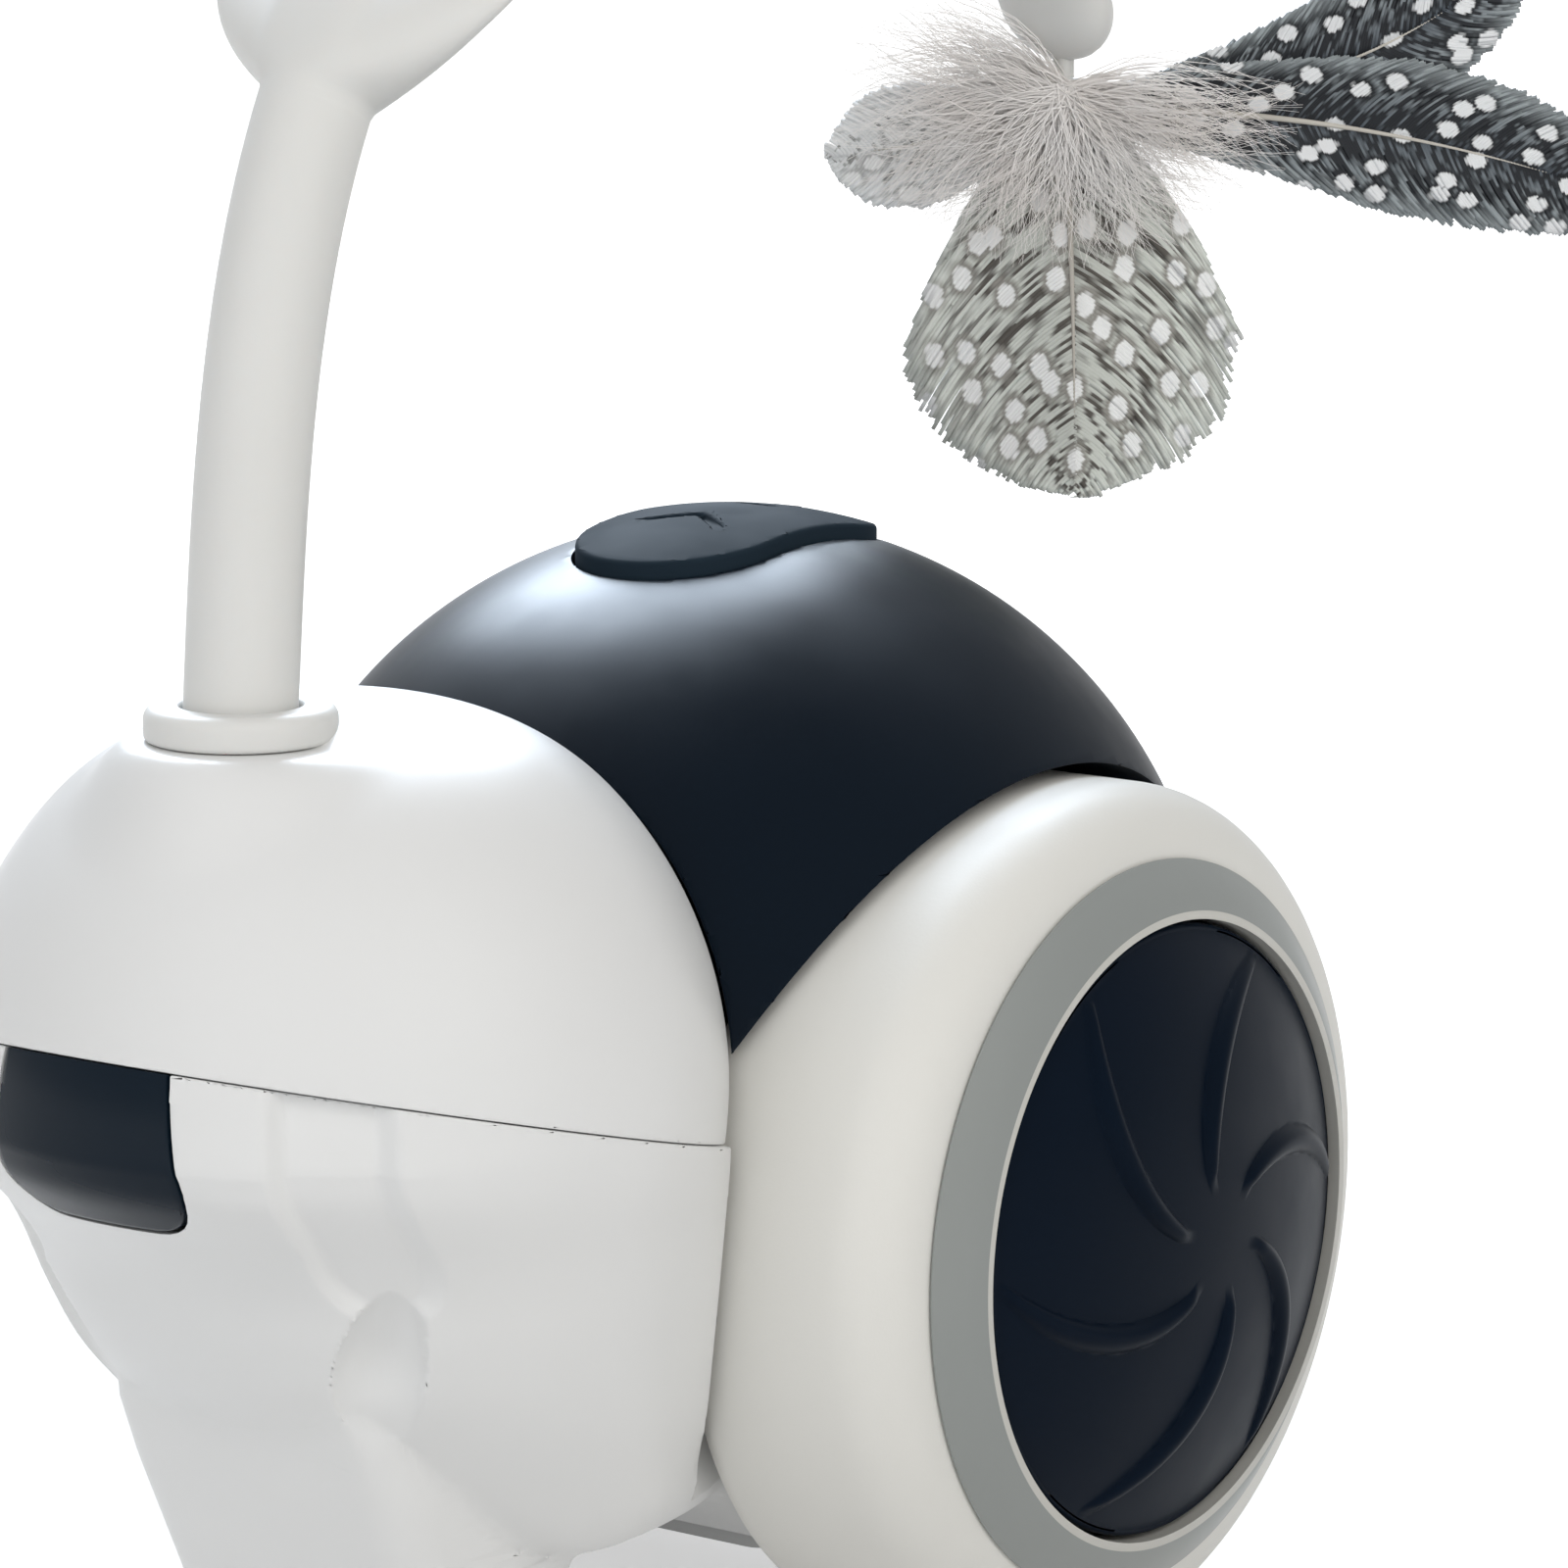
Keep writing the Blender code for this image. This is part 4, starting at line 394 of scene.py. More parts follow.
def press_cheeks(shape):
    """Push the cheeks in at their marks."""
    for vert in shape.verts:
        if not BOWL_BOTTOM + OVERRUN < vert.co.z < BOWL_TOP:
            continue
        turn = cheek_turn(vert.co)
        if turn > pi / 3:
            continue
        half_width, middle, front, back = bowl_section(vert.co.z)
        girth = sqrt((half_width * cos(turn)) ** 2 + (front * sin(turn)) ** 2)
        off = (turn - GROOVE_TURN) * girth
        drop = min(0, vert.co.z - GROOVE_LOW - GROOVE_HALF)
        inside = GROOVE_HALF - sqrt(off ** 2 + drop ** 2)
        depth = GROOVE_DEPTH * smooth_step(-GROOVE_SOFT / 2, GROOVE_SOFT, inside)
        rise = vert.co.z - HOLLOW_Z
        aside = (turn - HOLLOW_TURN - HOLLOW_LEAN * rise) * girth
        wide = HOLLOW_HALF_WIDTH * (1 - HOLLOW_NARROWING * rise / HOLLOW_HALF_HEIGHT)
        far = (aside / wide) ** 2 + (rise / HOLLOW_HALF_HEIGHT) ** 2
        if far < 1:
            fade = smooth_step(*HOLLOW_FADE, rise / HOLLOW_HALF_HEIGHT)
            fade = HOLLOW_LOW_DEPTH + (1 - HOLLOW_LOW_DEPTH) * fade
            depth = max(depth, HOLLOW_DEPTH * fade * (1 - far) ** HOLLOW_ROUNDNESS)
        inward = Vector((-vert.co.x, middle - vert.co.y, 0)).normalized()
        vert.co += inward * depth


lower = bowl(0, 200)
divide_cheeks(lower)
body_ball = ball(BODY_CENTRE, (BODY_RADIUS,) * 3, 144)
lower = carve(lower, body_ball, foot(0, FOOT_BOTTOM), drum(0), way="UNION")
bmesh.ops.remove_doubles(lower, verts=lower.verts, dist=MERGE_REACH)
melt_creases(lower, CREASE_REACH)
press_cheeks(lower)
# The room inside leaves the cheeks thicker by the hollow's depth, so the marks don't break through.
room = carve(ball(BODY_CENTRE, (BODY_RADIUS - SHELL_WALL,) * 3, 40), bowl(-SHELL_WALL - HOLLOW_DEPTH, 40),
             foot(-SHELL_WALL, FOOT_ROOM_BOTTOM, 12), drum(-SHELL_WALL), way="UNION")
lower = carve(split(lower, -1), wells(0), carve(room, wells(SHELL_WALL, 40)))
# The flat rims have hundreds of corners, and are divided here so that the next cuts fill them rightly.
bmesh.ops.triangulate(lower, faces=[face for face in lower.faces if len(face.verts) > 12])

VISOR_TOP_HALF = 9.3 * mm
VISOR_LOW_HALF = 11.1 * mm
VISOR_BOTTOM = 53.4 * mm
VISOR_CORNER = 5.8 * mm
VISOR_THICKNESS = 1.7 * mm
VISOR_REACH = 14 * mm
VISOR_RIM = HEAD_CENTRE.z + 9.3 * mm
COVER_CORNER = 2.5 * mm
cover_low, cover_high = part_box("service_cover")
cup_low, cup_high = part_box("castor_cup")


def block(low, high, corner=0, axis=2, steps=6):
    """A straight block, its edges along one axis rounded to corner."""
    size = Vector(high) - Vector(low)
    shape = bmesh.new()
    bmesh.ops.create_cube(shape, size=1, matrix=Matrix.Translation((Vector(high) + Vector(low)) / 2)
                          @ Matrix.Diagonal((*size, 1)))
    if corner:
        upright = [edge for edge in shape.edges
                   if abs(edge.verts[0].co[axis] - edge.verts[1].co[axis]) > size[axis] / 2]
        round_edges(shape, upright, corner, steps)
    return shape


def window(grow):
    """The visor's outline as a block through the face: narrower at its top, round at its lower corners."""
    front = HEAD_CENTRE.y - HEAD_RADIUS - OVERRUN
    top = BOWL_TOP + OVERRUN
    low = VISOR_BOTTOM - grow
    shape = block((-1, front, low), (1, front + VISOR_REACH, top))
    slope = (VISOR_LOW_HALF - VISOR_TOP_HALF) / (VISOR_RIM - VISOR_BOTTOM)
    for vert in shape.verts:
        half = VISOR_LOW_HALF - slope * (vert.co.z - VISOR_BOTTOM) + grow
        vert.co.x = half if vert.co.x > 0 else -half
    corners = [edge for edge in shape.edges if all(vert.co.z < low + EDGE for vert in edge.verts)
               and abs(edge.verts[0].co.y - edge.verts[1].co.y) > mm]
    round_edges(shape, corners, VISOR_CORNER + grow, 8)
    return shape


castor_y = (cup_low.y + cup_high.y) / 2
cup_radius = (cup_high.y - cup_low.y) / 2
cup_hole = rod((0, castor_y, cup_low.z - OVERRUN), (0, castor_y, cup_high.z), cup_radius + FIT_GAP / 2)
cover_hole = block((cover_low.x - FIT_GAP, cover_low.y - FIT_GAP, cover_low.z - OVERRUN),
                   (cover_high.x + FIT_GAP, cover_high.y + FIT_GAP, cover_high.z), COVER_CORNER)
lower = carve(lower, window(FIT_GAP), cup_hole, cover_hole)
ease_edges(lower, EDGE)
lower_shell = piece("lower_shell_moulding", lower, white_abs)
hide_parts("lower_shell")
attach(lower_shell, "body")

# Service cover and castor
# A flat ABS cover under the belly, held by four pan screws, and a steel ball that rolls in a
# snapped-in acetal cup. Screws, ball and cup keep their CAD shapes. The cover is made anew, with a
# seat for each screw and broken edges.
cover = block(cover_low, cover_high, COVER_CORNER)
SCREW_HEAD_RADIUS = 1.7 * mm
SCREW_HEAD_HEIGHT = 1.2 * mm
for number in range(1, 5):
    screw_low, screw_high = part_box(f"cover_screw_{number}")
    spot = (screw_low + screw_high) / 2
    cover = carve(cover, rod((spot.x, spot.y, screw_low.z - OVERRUN),
                             (spot.x, spot.y, screw_low.z + SCREW_HEAD_HEIGHT),
                             SCREW_HEAD_RADIUS + FIT_GAP, steps=32))
ease_edges(cover, EDGE)
service_cover = piece("service_cover_plate", cover, white_abs)
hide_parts("service_cover")
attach(service_cover, "body")

# Visor
# A wrap-round window of smoked acrylic in front of the infrared eyes. Its polish is a little dull, so
# it mirrors the room faintly and softly. It lies flush with the cheeks, with a fine gap all round.
pane = carve(bowl(0, 320), window(0), way="INTERSECT")
pane = carve(split(pane, -1), bowl(-VISOR_THICKNESS, 120))
ease_edges(pane, EDGE * 0.8)
smoked_acrylic = moulded("smoked_acrylic_window", "0A1824", "0D1B27", 0.2, 1.2 * mm, 0.0005 * mm, shine=0.12)
visor = piece("visor_window", pane, smoked_acrylic)
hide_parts("visor")
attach(visor, "body")

# Rear dome
# Midnight-blue ABS over the back, moulded in one piece from a smooth tool. It is open for the
# button and the charging socket, and the white head laps over its front edge.
PAD_HALF_WIDTH = 10.5 * mm
PAD_HALF_LENGTH = 17.6 * mm
RUN_GAP = 0.35 * mm
PAD_PROUD = 1.3 * mm
CROWN_START = 27 * mm
CROWN_DROP = 1.9 * mm
ROUND_END = 0.999
SOCKET_CORNER = mm
pad_low, pad_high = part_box("button_pad")
socket_low, socket_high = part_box("charge_socket")


def head_ball(grow, steps):
    """The head's egg, with its crown a little flattened."""
    shape = ball(Vector(), (1, 1, 1), steps)
    top = HEAD_HALF_HEIGHT + grow
    for vert in shape.verts:
        height = vert.co.z * top
        crown = max(0, height - CROWN_START) / (top - CROWN_START)
        height -= CROWN_DROP * crown * crown
        radius = HEAD_RADIUS + grow
        vert.co = HEAD_CENTRE + Vector((vert.co.x * radius, vert.co.y * radius, height))
    return shape


def pad_prism(grow, low, high):
    """The button's outline as an upright block. Its ends are a hair short of round, to keep the sides."""
    half = PAD_HALF_WIDTH + grow
    end = PAD_HALF_LENGTH + grow
    return block((-half, AXLE_Y - end, low), (half, AXLE_Y + end, high), half * ROUND_END, steps=28)


dome_room = carve(ball(BODY_CENTRE, (BODY_RADIUS - SHELL_WALL,) * 3, 60), wells(SHELL_WALL, 40))
socket_hole = block((socket_low.x - FIT_GAP, socket_low.y, socket_low.z - FIT_GAP),
                    (socket_high.x + FIT_GAP, socket_high.y + OVERRUN, socket_high.z + FIT_GAP),
                    SOCKET_CORNER, axis=1)
dome = split(ball(BODY_CENTRE, (BODY_RADIUS,) * 3, 240), 1)
dome = carve(dome, wells(0), head_ball(FIT_GAP, 160), dome_room,
             pad_prism(RUN_GAP, pad_low.z - OVERRUN, pad_high.z + OVERRUN), socket_hole)
ease_edges(dome, EDGE)
midnight_abs = moulded("midnight_moulded_abs", "030D18", "05121E", 0.38, 0.3 * mm, 0.0015 * mm, shine=0.09)
upper_cover = piece("rear_dome", dome, midnight_abs)
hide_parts("upper_cover")
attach(upper_cover, "body")

# Button
# A long oval key of slate silicone in the dome's top, domed a little more than the shell. A
# shallow arrow and two dashes are moulded in it as plain finger marks.
KEY_RADIUS = BODY_RADIUS + PAD_PROUD
KEY_EDGE = 0.4 * mm
MARK_WIDTH = 0.9 * mm
MARK_DEPTH = 0.45 * mm
# Each mark: its place along the key, half length, turn and place aside.
MARKS = [
    (-6 * mm, 3.6 * mm, radians(35), -2.6 * mm),
    (-6 * mm, 3.6 * mm, radians(-35), 2.6 * mm),
    (4.5 * mm, 2.2 * mm, 0, 0),
    (9.5 * mm, 2.2 * mm, 0, 0),
]
key = carve(ball(BODY_CENTRE, (KEY_RADIUS,) * 3, 220), pad_prism(0, pad_low.z, pad_high.z + OVERRUN),
            way="INTERSECT")
for along, half_length, turn, aside in MARKS:
    floor_z = BODY_CENTRE.z + sqrt(KEY_RADIUS ** 2 - along ** 2 - aside ** 2) - MARK_DEPTH
    mark = block((-half_length, -MARK_WIDTH / 2, floor_z), (half_length, MARK_WIDTH / 2, floor_z + OVERRUN))
    bmesh.ops.rotate(mark, verts=mark.verts, cent=(0, 0, 0), matrix=Matrix.Rotation(turn, 3, "Z"))
    bmesh.ops.translate(mark, verts=mark.verts, vec=(aside, AXLE_Y + along, 0))
    key = carve(key, mark)
ease_edges(key, KEY_EDGE, segments=3, angle=radians(60))
slate_silicone = moulded("slate_moulded_silicone", "212D37", "25313B", 0.7, 0.25 * mm, 0.004 * mm, shine=0.02)
button = piece("button_key", key, slate_silicone)
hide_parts("button_pad")
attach(button, "button")

# Head cover
# The white helmet: the same ABS as the shell below. Its rear rim laps over the dome, and its crown
# rises in a smooth pedestal to the flat seat of the arm's collar.
HEAD_LAP = 4.5 * mm
SEAT_RADIUS = 9.4 * mm
PEDESTAL_REACH = 17 * mm
PEDESTAL_CURVE = 1.5
collar_low, collar_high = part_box("arm_collar")
collar_middle = Vector((0, (collar_low.y + collar_high.y) / 2, collar_high.z))
COLLAR_FLANGE = 3.2 * mm
COLLAR_NECK_RADIUS = 7.2 * mm
seat_top = collar_high.z - COLLAR_FLANGE - FIT_GAP / 3
helmet = head_ball(0, 240)
for vert in helmet.verts:
    if vert.co.z > HEAD_CENTRE.z:
        away = (Vector((vert.co.x, vert.co.y)) - collar_middle.xy).length
        lift = 1 - smooth_step(SEAT_RADIUS, PEDESTAL_REACH, away)
        vert.co.z += max(0, seat_top - vert.co.z) * lift ** PEDESTAL_CURVE
helmet_room = carve(head_ball(-SHELL_WALL, 60), wells(SHELL_WALL, 40))
collar_hole = rod((0, collar_middle.y, HEAD_CENTRE.z), (0, collar_middle.y, collar_high.z + OVERRUN),
                  COLLAR_NECK_RADIUS + FIT_GAP)
helmet = carve(split(helmet, 1), wells(0), helmet_room, ball(BODY_CENTRE, (BODY_RADIUS - HEAD_LAP,) * 3, 120),
               collar_hole)
ease_edges(helmet, EDGE)
head_cover = piece("head_helmet", helmet, white_abs)
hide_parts("head_cover")
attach(head_cover, "body")

# Arm collar
# A round grommet of soft white silicone, pushed into the seat. Its flange is thick and
# generously rounded, and its bore grips the arm's plug.
STEM_RADIUS = 5.2 * mm
COLLAR_RADIUS = 8.8 * mm
COLLAR_ROUND = 1.3 * mm
COLLAR_EDGE = 0.5 * mm


def turned(profile, steps, closed=True):
    """A shape turned about local Z from a profile of (radius, height) points."""
    shape = bmesh.new()
    verts = [shape.verts.new((radius, 0, height)) for radius, height in profile]
    edges = [shape.edges.new(pair) for pair in zip(verts, verts[1:])]
    if closed:
        edges.append(shape.edges.new((verts[-1], verts[0])))
    bmesh.ops.spin(shape, geom=verts + edges, axis=(0, 0, 1), cent=(0, 0, 0), angle=2 * pi, steps=steps,
                   use_merge=True)
    bmesh.ops.remove_doubles(shape, verts=shape.verts, dist=0.001 * mm)
    bmesh.ops.recalc_face_normals(shape, faces=shape.faces)
    return shape


def round_ring(shape, radius, height, offset, segments):
    """Round the ring that a profile point was turned into."""
    near = 0.02 * mm
    ring = [edge for edge in shape.edges
            if all(abs(vert.co.xy.length - radius) < near and abs(vert.co.z - height) < near
                   for vert in edge.verts)]
    round_edges(shape, ring, offset, segments)


flange_low = collar_high.z - COLLAR_FLANGE
grommet = turned([(STEM_RADIUS + FIT_GAP, collar_high.z), (COLLAR_RADIUS, collar_high.z),
                  (COLLAR_RADIUS, flange_low), (COLLAR_NECK_RADIUS, flange_low),
                  (COLLAR_NECK_RADIUS, collar_low.z), (STEM_RADIUS + FIT_GAP, collar_low.z)], 128)
round_ring(grommet, COLLAR_RADIUS, collar_high.z, COLLAR_ROUND, 8)
round_ring(grommet, COLLAR_RADIUS, flange_low, COLLAR_EDGE, 4)
round_ring(grommet, STEM_RADIUS + FIT_GAP, collar_high.z, COLLAR_EDGE, 4)
bmesh.ops.translate(grommet, verts=grommet.verts, vec=(0, collar_middle.y, 0))
white_silicone = moulded("white_moulded_silicone", "E2E2E0", "DEDEDB", 0.5, 0.4 * mm, 0.004 * mm,
                         **{"Subsurface Weight": 0.15, "Subsurface Scale": 2 * mm,
                            "Subsurface Radius": (1, 0.8, 0.7)})
collar = piece("collar_grommet", grommet, white_silicone)
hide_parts("arm_collar")
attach(collar, "body")

# Wheels
# Each wheel has a soft white rubber tyre on a white rim, a satin grey trim ring that slopes in
# over it to a pale lip, and a midnight hub cap with six swept ridges, clipped on last.
TYRE_RADIUS = (tyre_high.z - tyre_low.z) / 2
TYRE_BORE = 34 * mm
TYRE_SHOULDER = 7 * mm
TYRE_INNER_SHOULDER = 3.5 * mm
TRIM_RADIUS = 35.5 * mm
TRIM_INNER = 29.9 * mm
TRIM_LIP = 0.8 * mm
TRIM_OUTER_X = 49.7 * mm
TRIM_FRONT_X = 52.8 * mm
TRIM_BACK_RADIUS = 34 * mm
TRIM_BACK_X = 48.7 * mm
TRIM_EDGE = 0.3 * mm
CAP_RADIUS = 29.4 * mm
CAP_TOP = 58.6 * mm
CAP_CURVE = 66.96 * mm
CAP_SKIRT = 3.4 * mm
CAP_EDGE = 0.6 * mm
CAP_RINGS = 56
NEAR = 0.01 * mm
RIDGES = 6
RIDGE_START = 6.5 * mm
RIDGE_END = 28 * mm
RIDGE_SWEEP = radians(45)
RIDGE_HALF_WIDTH = 1.45 * mm
RIDGE_HEIGHT = 1.1 * mm
RIDGE_FADE_IN = (-1.5 * mm, mm)
RIDGE_FADE_OUT = (-1.2 * mm, 0.6 * mm)
RIDGE_PHASE = 0.1
RIDGE_PHASE_SPAN = 0.84
RIDGE_SWELL = 0.6
RIDGE_ROUNDNESS = 0.8
RIDGE_CROWDING = 0.7
white_rubber = moulded("white_moulded_rubber", "E6E5E0", "E1E0DB", 0.55, 0.3 * mm, 0.01 * mm)
satin_grey = moulded("satin_grey_moulded_abs", "8B8F8D", "8F9391", 0.4, 0.4 * mm, 0.004 * mm)
pale_lip = moulded("pale_moulded_lip", "C9C8C2", "C4C3BD", 0.45, 0.4 * mm, 0.003 * mm)
hub_abs = moulded("midnight_moulded_hub", "020D1A", "041120", 0.38, 0.4 * mm, 0.002 * mm, shine=0.06)


def cap_height(radius):
    """How far out the hub cap's shallow dome stands at a radius."""
    return CAP_TOP - CAP_CURVE + sqrt(CAP_CURVE ** 2 - radius ** 2)


def cap_shape(side):
    """The hub cap: rings of points crowd towards each ridge and twist with it, then rise into it."""
    flat = CAP_RADIUS - CAP_EDGE
    levels = [flat * place / CAP_RINGS for place in range(CAP_RINGS + 1)]
    face = [(radius, cap_height(radius)) for radius in levels]
    for place in range(1, 6):
        angle = pi / 2 * place / 5
        face.append((flat + CAP_EDGE * sin(angle), cap_height(flat) - CAP_EDGE * (1 - cos(angle))))
    low = cap_height(CAP_RADIUS) - CAP_SKIRT
    inner = CAP_RADIUS - SHELL_WALL
    shape = turned(face + [(CAP_RADIUS, low), (inner, low), (inner, cap_height(CAP_RADIUS) - SHELL_WALL),
                           (0, CAP_TOP - SHELL_WALL)], 60 * RIDGES, closed=False)
    pitch = 2 * pi / RIDGES
    for vert in shape.verts:
        radius = vert.co.xy.length
        if radius < 10 * NEAR or vert.co.z < cap_height(radius) - NEAR or radius > flat + NEAR:
            continue
        share = min(1, max(0, (radius - RIDGE_START) / (RIDGE_END - RIDGE_START)))
        line = pi / 2 + side * (RIDGE_SWEEP - RIDGE_SWEEP * share)
        angle = atan2(vert.co.y, vert.co.x)
        offset = (angle / pitch + 0.5) % 1 - 0.5
        near = pitch * ((1 - RIDGE_CROWDING) * offset + RIDGE_CROWDING * 4 * offset ** 3)
        turn = line + round(angle / pitch - offset) * pitch + near
        slant = radius * RIDGE_SWEEP / (RIDGE_END - RIDGE_START) if 0 < share < 1 else 0
        aside = radius * near / sqrt(1 + slant ** 2)
        swell = max(0, sin(pi * (RIDGE_PHASE + RIDGE_PHASE_SPAN * share))) ** RIDGE_SWELL
        ends = smooth_step(*RIDGE_FADE_IN, radius - RIDGE_START)
        ends *= 1 - smooth_step(*RIDGE_FADE_OUT, radius - RIDGE_END)
        bump = max(0, 1 - (aside / (RIDGE_HALF_WIDTH * swell)) ** 2) if swell else 0
        vert.co.z += RIDGE_HEIGHT * swell * ends * bump ** RIDGE_ROUNDNESS
        vert.co.x, vert.co.y = radius * cos(turn), radius * sin(turn)
    return shape


for side, name in ((-1, "left"), (1, "right")):
    place = Matrix.Translation((0, AXLE_Y, AXLE_Z)) @ Matrix.Rotation(side * pi / 2, 4, "Y")
    tyre = turned([(TYRE_BORE, tyre_low.x), (TYRE_RADIUS, tyre_low.x), (TYRE_RADIUS, tyre_high.x),
                   (TYRE_BORE, tyre_high.x)], 256)
    round_ring(tyre, TYRE_RADIUS, tyre_high.x, TYRE_SHOULDER, 14)
    round_ring(tyre, TYRE_RADIUS, tyre_low.x, TYRE_INNER_SHOULDER, 8)
    ring = turned([(TRIM_BACK_RADIUS, TRIM_BACK_X), (TRIM_RADIUS, TRIM_OUTER_X),
                   (TRIM_INNER + TRIM_LIP, TRIM_FRONT_X), (TRIM_INNER, TRIM_FRONT_X),
                   (TRIM_INNER, TRIM_BACK_X)], 256)
    round_ring(ring, TRIM_RADIUS, TRIM_OUTER_X, TRIM_EDGE, 3)
    for face in ring.faces:
        middle = face.calc_center_median()
        face.material_index = int(middle.z > TRIM_FRONT_X - NEAR or middle.xy.length < TRIM_INNER + NEAR)
    cap = cap_shape(side)
    for shape, kind, node, material, slot in (
            (tyre, "tyre_tread", "tyre", [white_rubber], "tyre_rubber"),
            (ring, "trim_band", "trim_ring", [satin_grey, pale_lip], "grey_trim"),
            (cap, "swept_cap", "hub_cap", [hub_abs], "hub_plastic")):
        bmesh.ops.transform(shape, matrix=place, verts=shape.verts)
        made = piece(f"{kind}_{name}", shape, *material)
        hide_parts(f"{node}_{name}")
        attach(made, f"wheel_{name}")

# Arm
# One long moulding of soft white silicone: a round stem that leans back, opens into a cupped leaf
# with a raised spine over the body, and ends in a rounded snout that holds the lure.
STEM_LENGTH = 60 * mm
STEM_LEAN = radians(4.5)
LEAF_LEAN = radians(32)
TIP_LEAN = radians(156)
ARCH_RADIUS = 67 * mm
LEAF_START = 55 * mm
LEAF_HALF_WIDTH = 21 * mm
LEAF_HALF_THICKNESS = 1.7 * mm
LEAF_CUP = 5 * mm
TIP_HALF_WIDTH = 6.2 * mm
TIP_HALF_THICKNESS = 3.9 * mm
PLUG_DEPTH = 11 * mm
SPINE_HEIGHT = 2.6 * mm
SPINE_HALF_WIDTH = 5 * mm
SPINE_SQUARENESS = 8
# Where each change of the section starts and ends, as shares of the leaf's length.
LEAF_OPENING = 0.055
LEAF_NARROWS = (0.28, 1.02)
LEAF_THINS = (0, 0.16)
TIP_THICKENS = (0.86, 0.97)
CUP_DEEPENS = (0.02, 0.25)
CUP_FLATTENS = (0.7, 1)
SPINE_RISES = (0, 0.14)
SPINE_SINKS = (0.35, 0.75)
TIP_LEAST = 0.05
arm_length = STEM_LENGTH + ARCH_RADIUS * (TIP_LEAN - LEAF_LEAN)
ARM_ROWS = 300


def arm_lean(along):
    """How far the arm leans from upright at a distance along it."""
    if along < STEM_LENGTH:
        return STEM_LEAN + (LEAF_LEAN - STEM_LEAN) * (max(0, along) / STEM_LENGTH) ** 2
    return LEAF_LEAN + (along - STEM_LENGTH) / ARCH_RADIUS


def arm_size(along):
    """Half width, half thickness, cup and spine of the arm's section at a distance along it."""
    share = (along - LEAF_START) / (arm_length - LEAF_START)
    if share <= 0:
        return STEM_RADIUS, STEM_RADIUS, 0, 0
    width = TIP_HALF_WIDTH + (LEAF_HALF_WIDTH - TIP_HALF_WIDTH) * (1 - smooth_step(*LEAF_NARROWS, share))
    width = STEM_RADIUS + (width - STEM_RADIUS) * (1 - exp(-share / LEAF_OPENING))
    thick = STEM_RADIUS + (LEAF_HALF_THICKNESS - STEM_RADIUS) * smooth_step(*LEAF_THINS, share)
    thick += (TIP_HALF_THICKNESS - thick) * smooth_step(*TIP_THICKENS, share)
    cup = LEAF_CUP * smooth_step(*CUP_DEEPENS, share) * (1 - smooth_step(*CUP_FLATTENS, share))
    spine = smooth_step(*SPINE_RISES, share) * (1 - smooth_step(*SPINE_SINKS, share))
    tip = min(1, max(0, (along - arm_length + TIP_HALF_WIDTH) / TIP_HALF_WIDTH))
    round_off = max(TIP_LEAST, sqrt(max(0, 1 - tip ** 2)))
    return width * round_off, thick * round_off, cup, spine


arm_points = [collar_middle - Vector((0, 0, PLUG_DEPTH))]
step = (arm_length + PLUG_DEPTH) / ARM_ROWS
for number in range(ARM_ROWS):
    along = (number + 0.5) * step - PLUG_DEPTH
    lean = arm_lean(along) if along > 0 else 0
    arm_points.append(arm_points[-1] + Vector((0, sin(lean), cos(lean))) * step)
limb = tube(144, ARM_ROWS)
for vert in limb.verts:
    row = round((vert.co.z + 0.5) * ARM_ROWS)
    along = row * step - PLUG_DEPTH
    lean = arm_lean(along) if along > 0 else 0
    outward = Vector((0, -cos(lean), sin(lean)))
    half_width, half_thickness, cup, spine = arm_size(along)
    across = half_width * vert.co.x
    lift = half_thickness * vert.co.y - cup * (across / LEAF_HALF_WIDTH) ** 2
    if vert.co.y > 0:
        lift += SPINE_HEIGHT * spine * exp(-(across / SPINE_HALF_WIDTH) ** SPINE_SQUARENESS)
    vert.co = arm_points[row] + Vector((across, 0, 0)) + outward * lift
bmesh.ops.recalc_face_normals(limb, faces=limb.faces)
arm = piece("silicone_arm", limb, white_silicone)
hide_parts("arm")
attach(arm, "arm_body")

# Lure clip
# A small white clip: its ball snaps into the arm's tip, and its sleeve grips the quills.
clip_low, clip_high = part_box("lure_clip")
clip_middle = (clip_low + clip_high) / 2
CLIP_RADIUS = 2.4 * mm
CLIP_NECK = 1.1 * mm
SNAP_RADIUS = 2.1 * mm
SLEEVE_TAPER = 0.7
snap_centre = (0, clip_middle.y, clip_high.z - SNAP_RADIUS)
neck_end = (0, clip_middle.y, clip_low.z + CLIP_RADIUS / 2)
neck = rod(snap_centre, neck_end, CLIP_NECK, steps=32)
sleeve = rod((0, clip_middle.y, clip_low.z), (0, clip_middle.y, clip_low.z + CLIP_RADIUS), CLIP_RADIUS,
             CLIP_RADIUS * SLEEVE_TAPER, steps=48)
clip = carve(ball(snap_centre, (SNAP_RADIUS,) * 3, 32), neck, sleeve, way="UNION")
ease_edges(clip, EDGE)
lure_clip = piece("quill_clip", clip, white_silicone)
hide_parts("lure_clip")
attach(lure_clip, "lure")

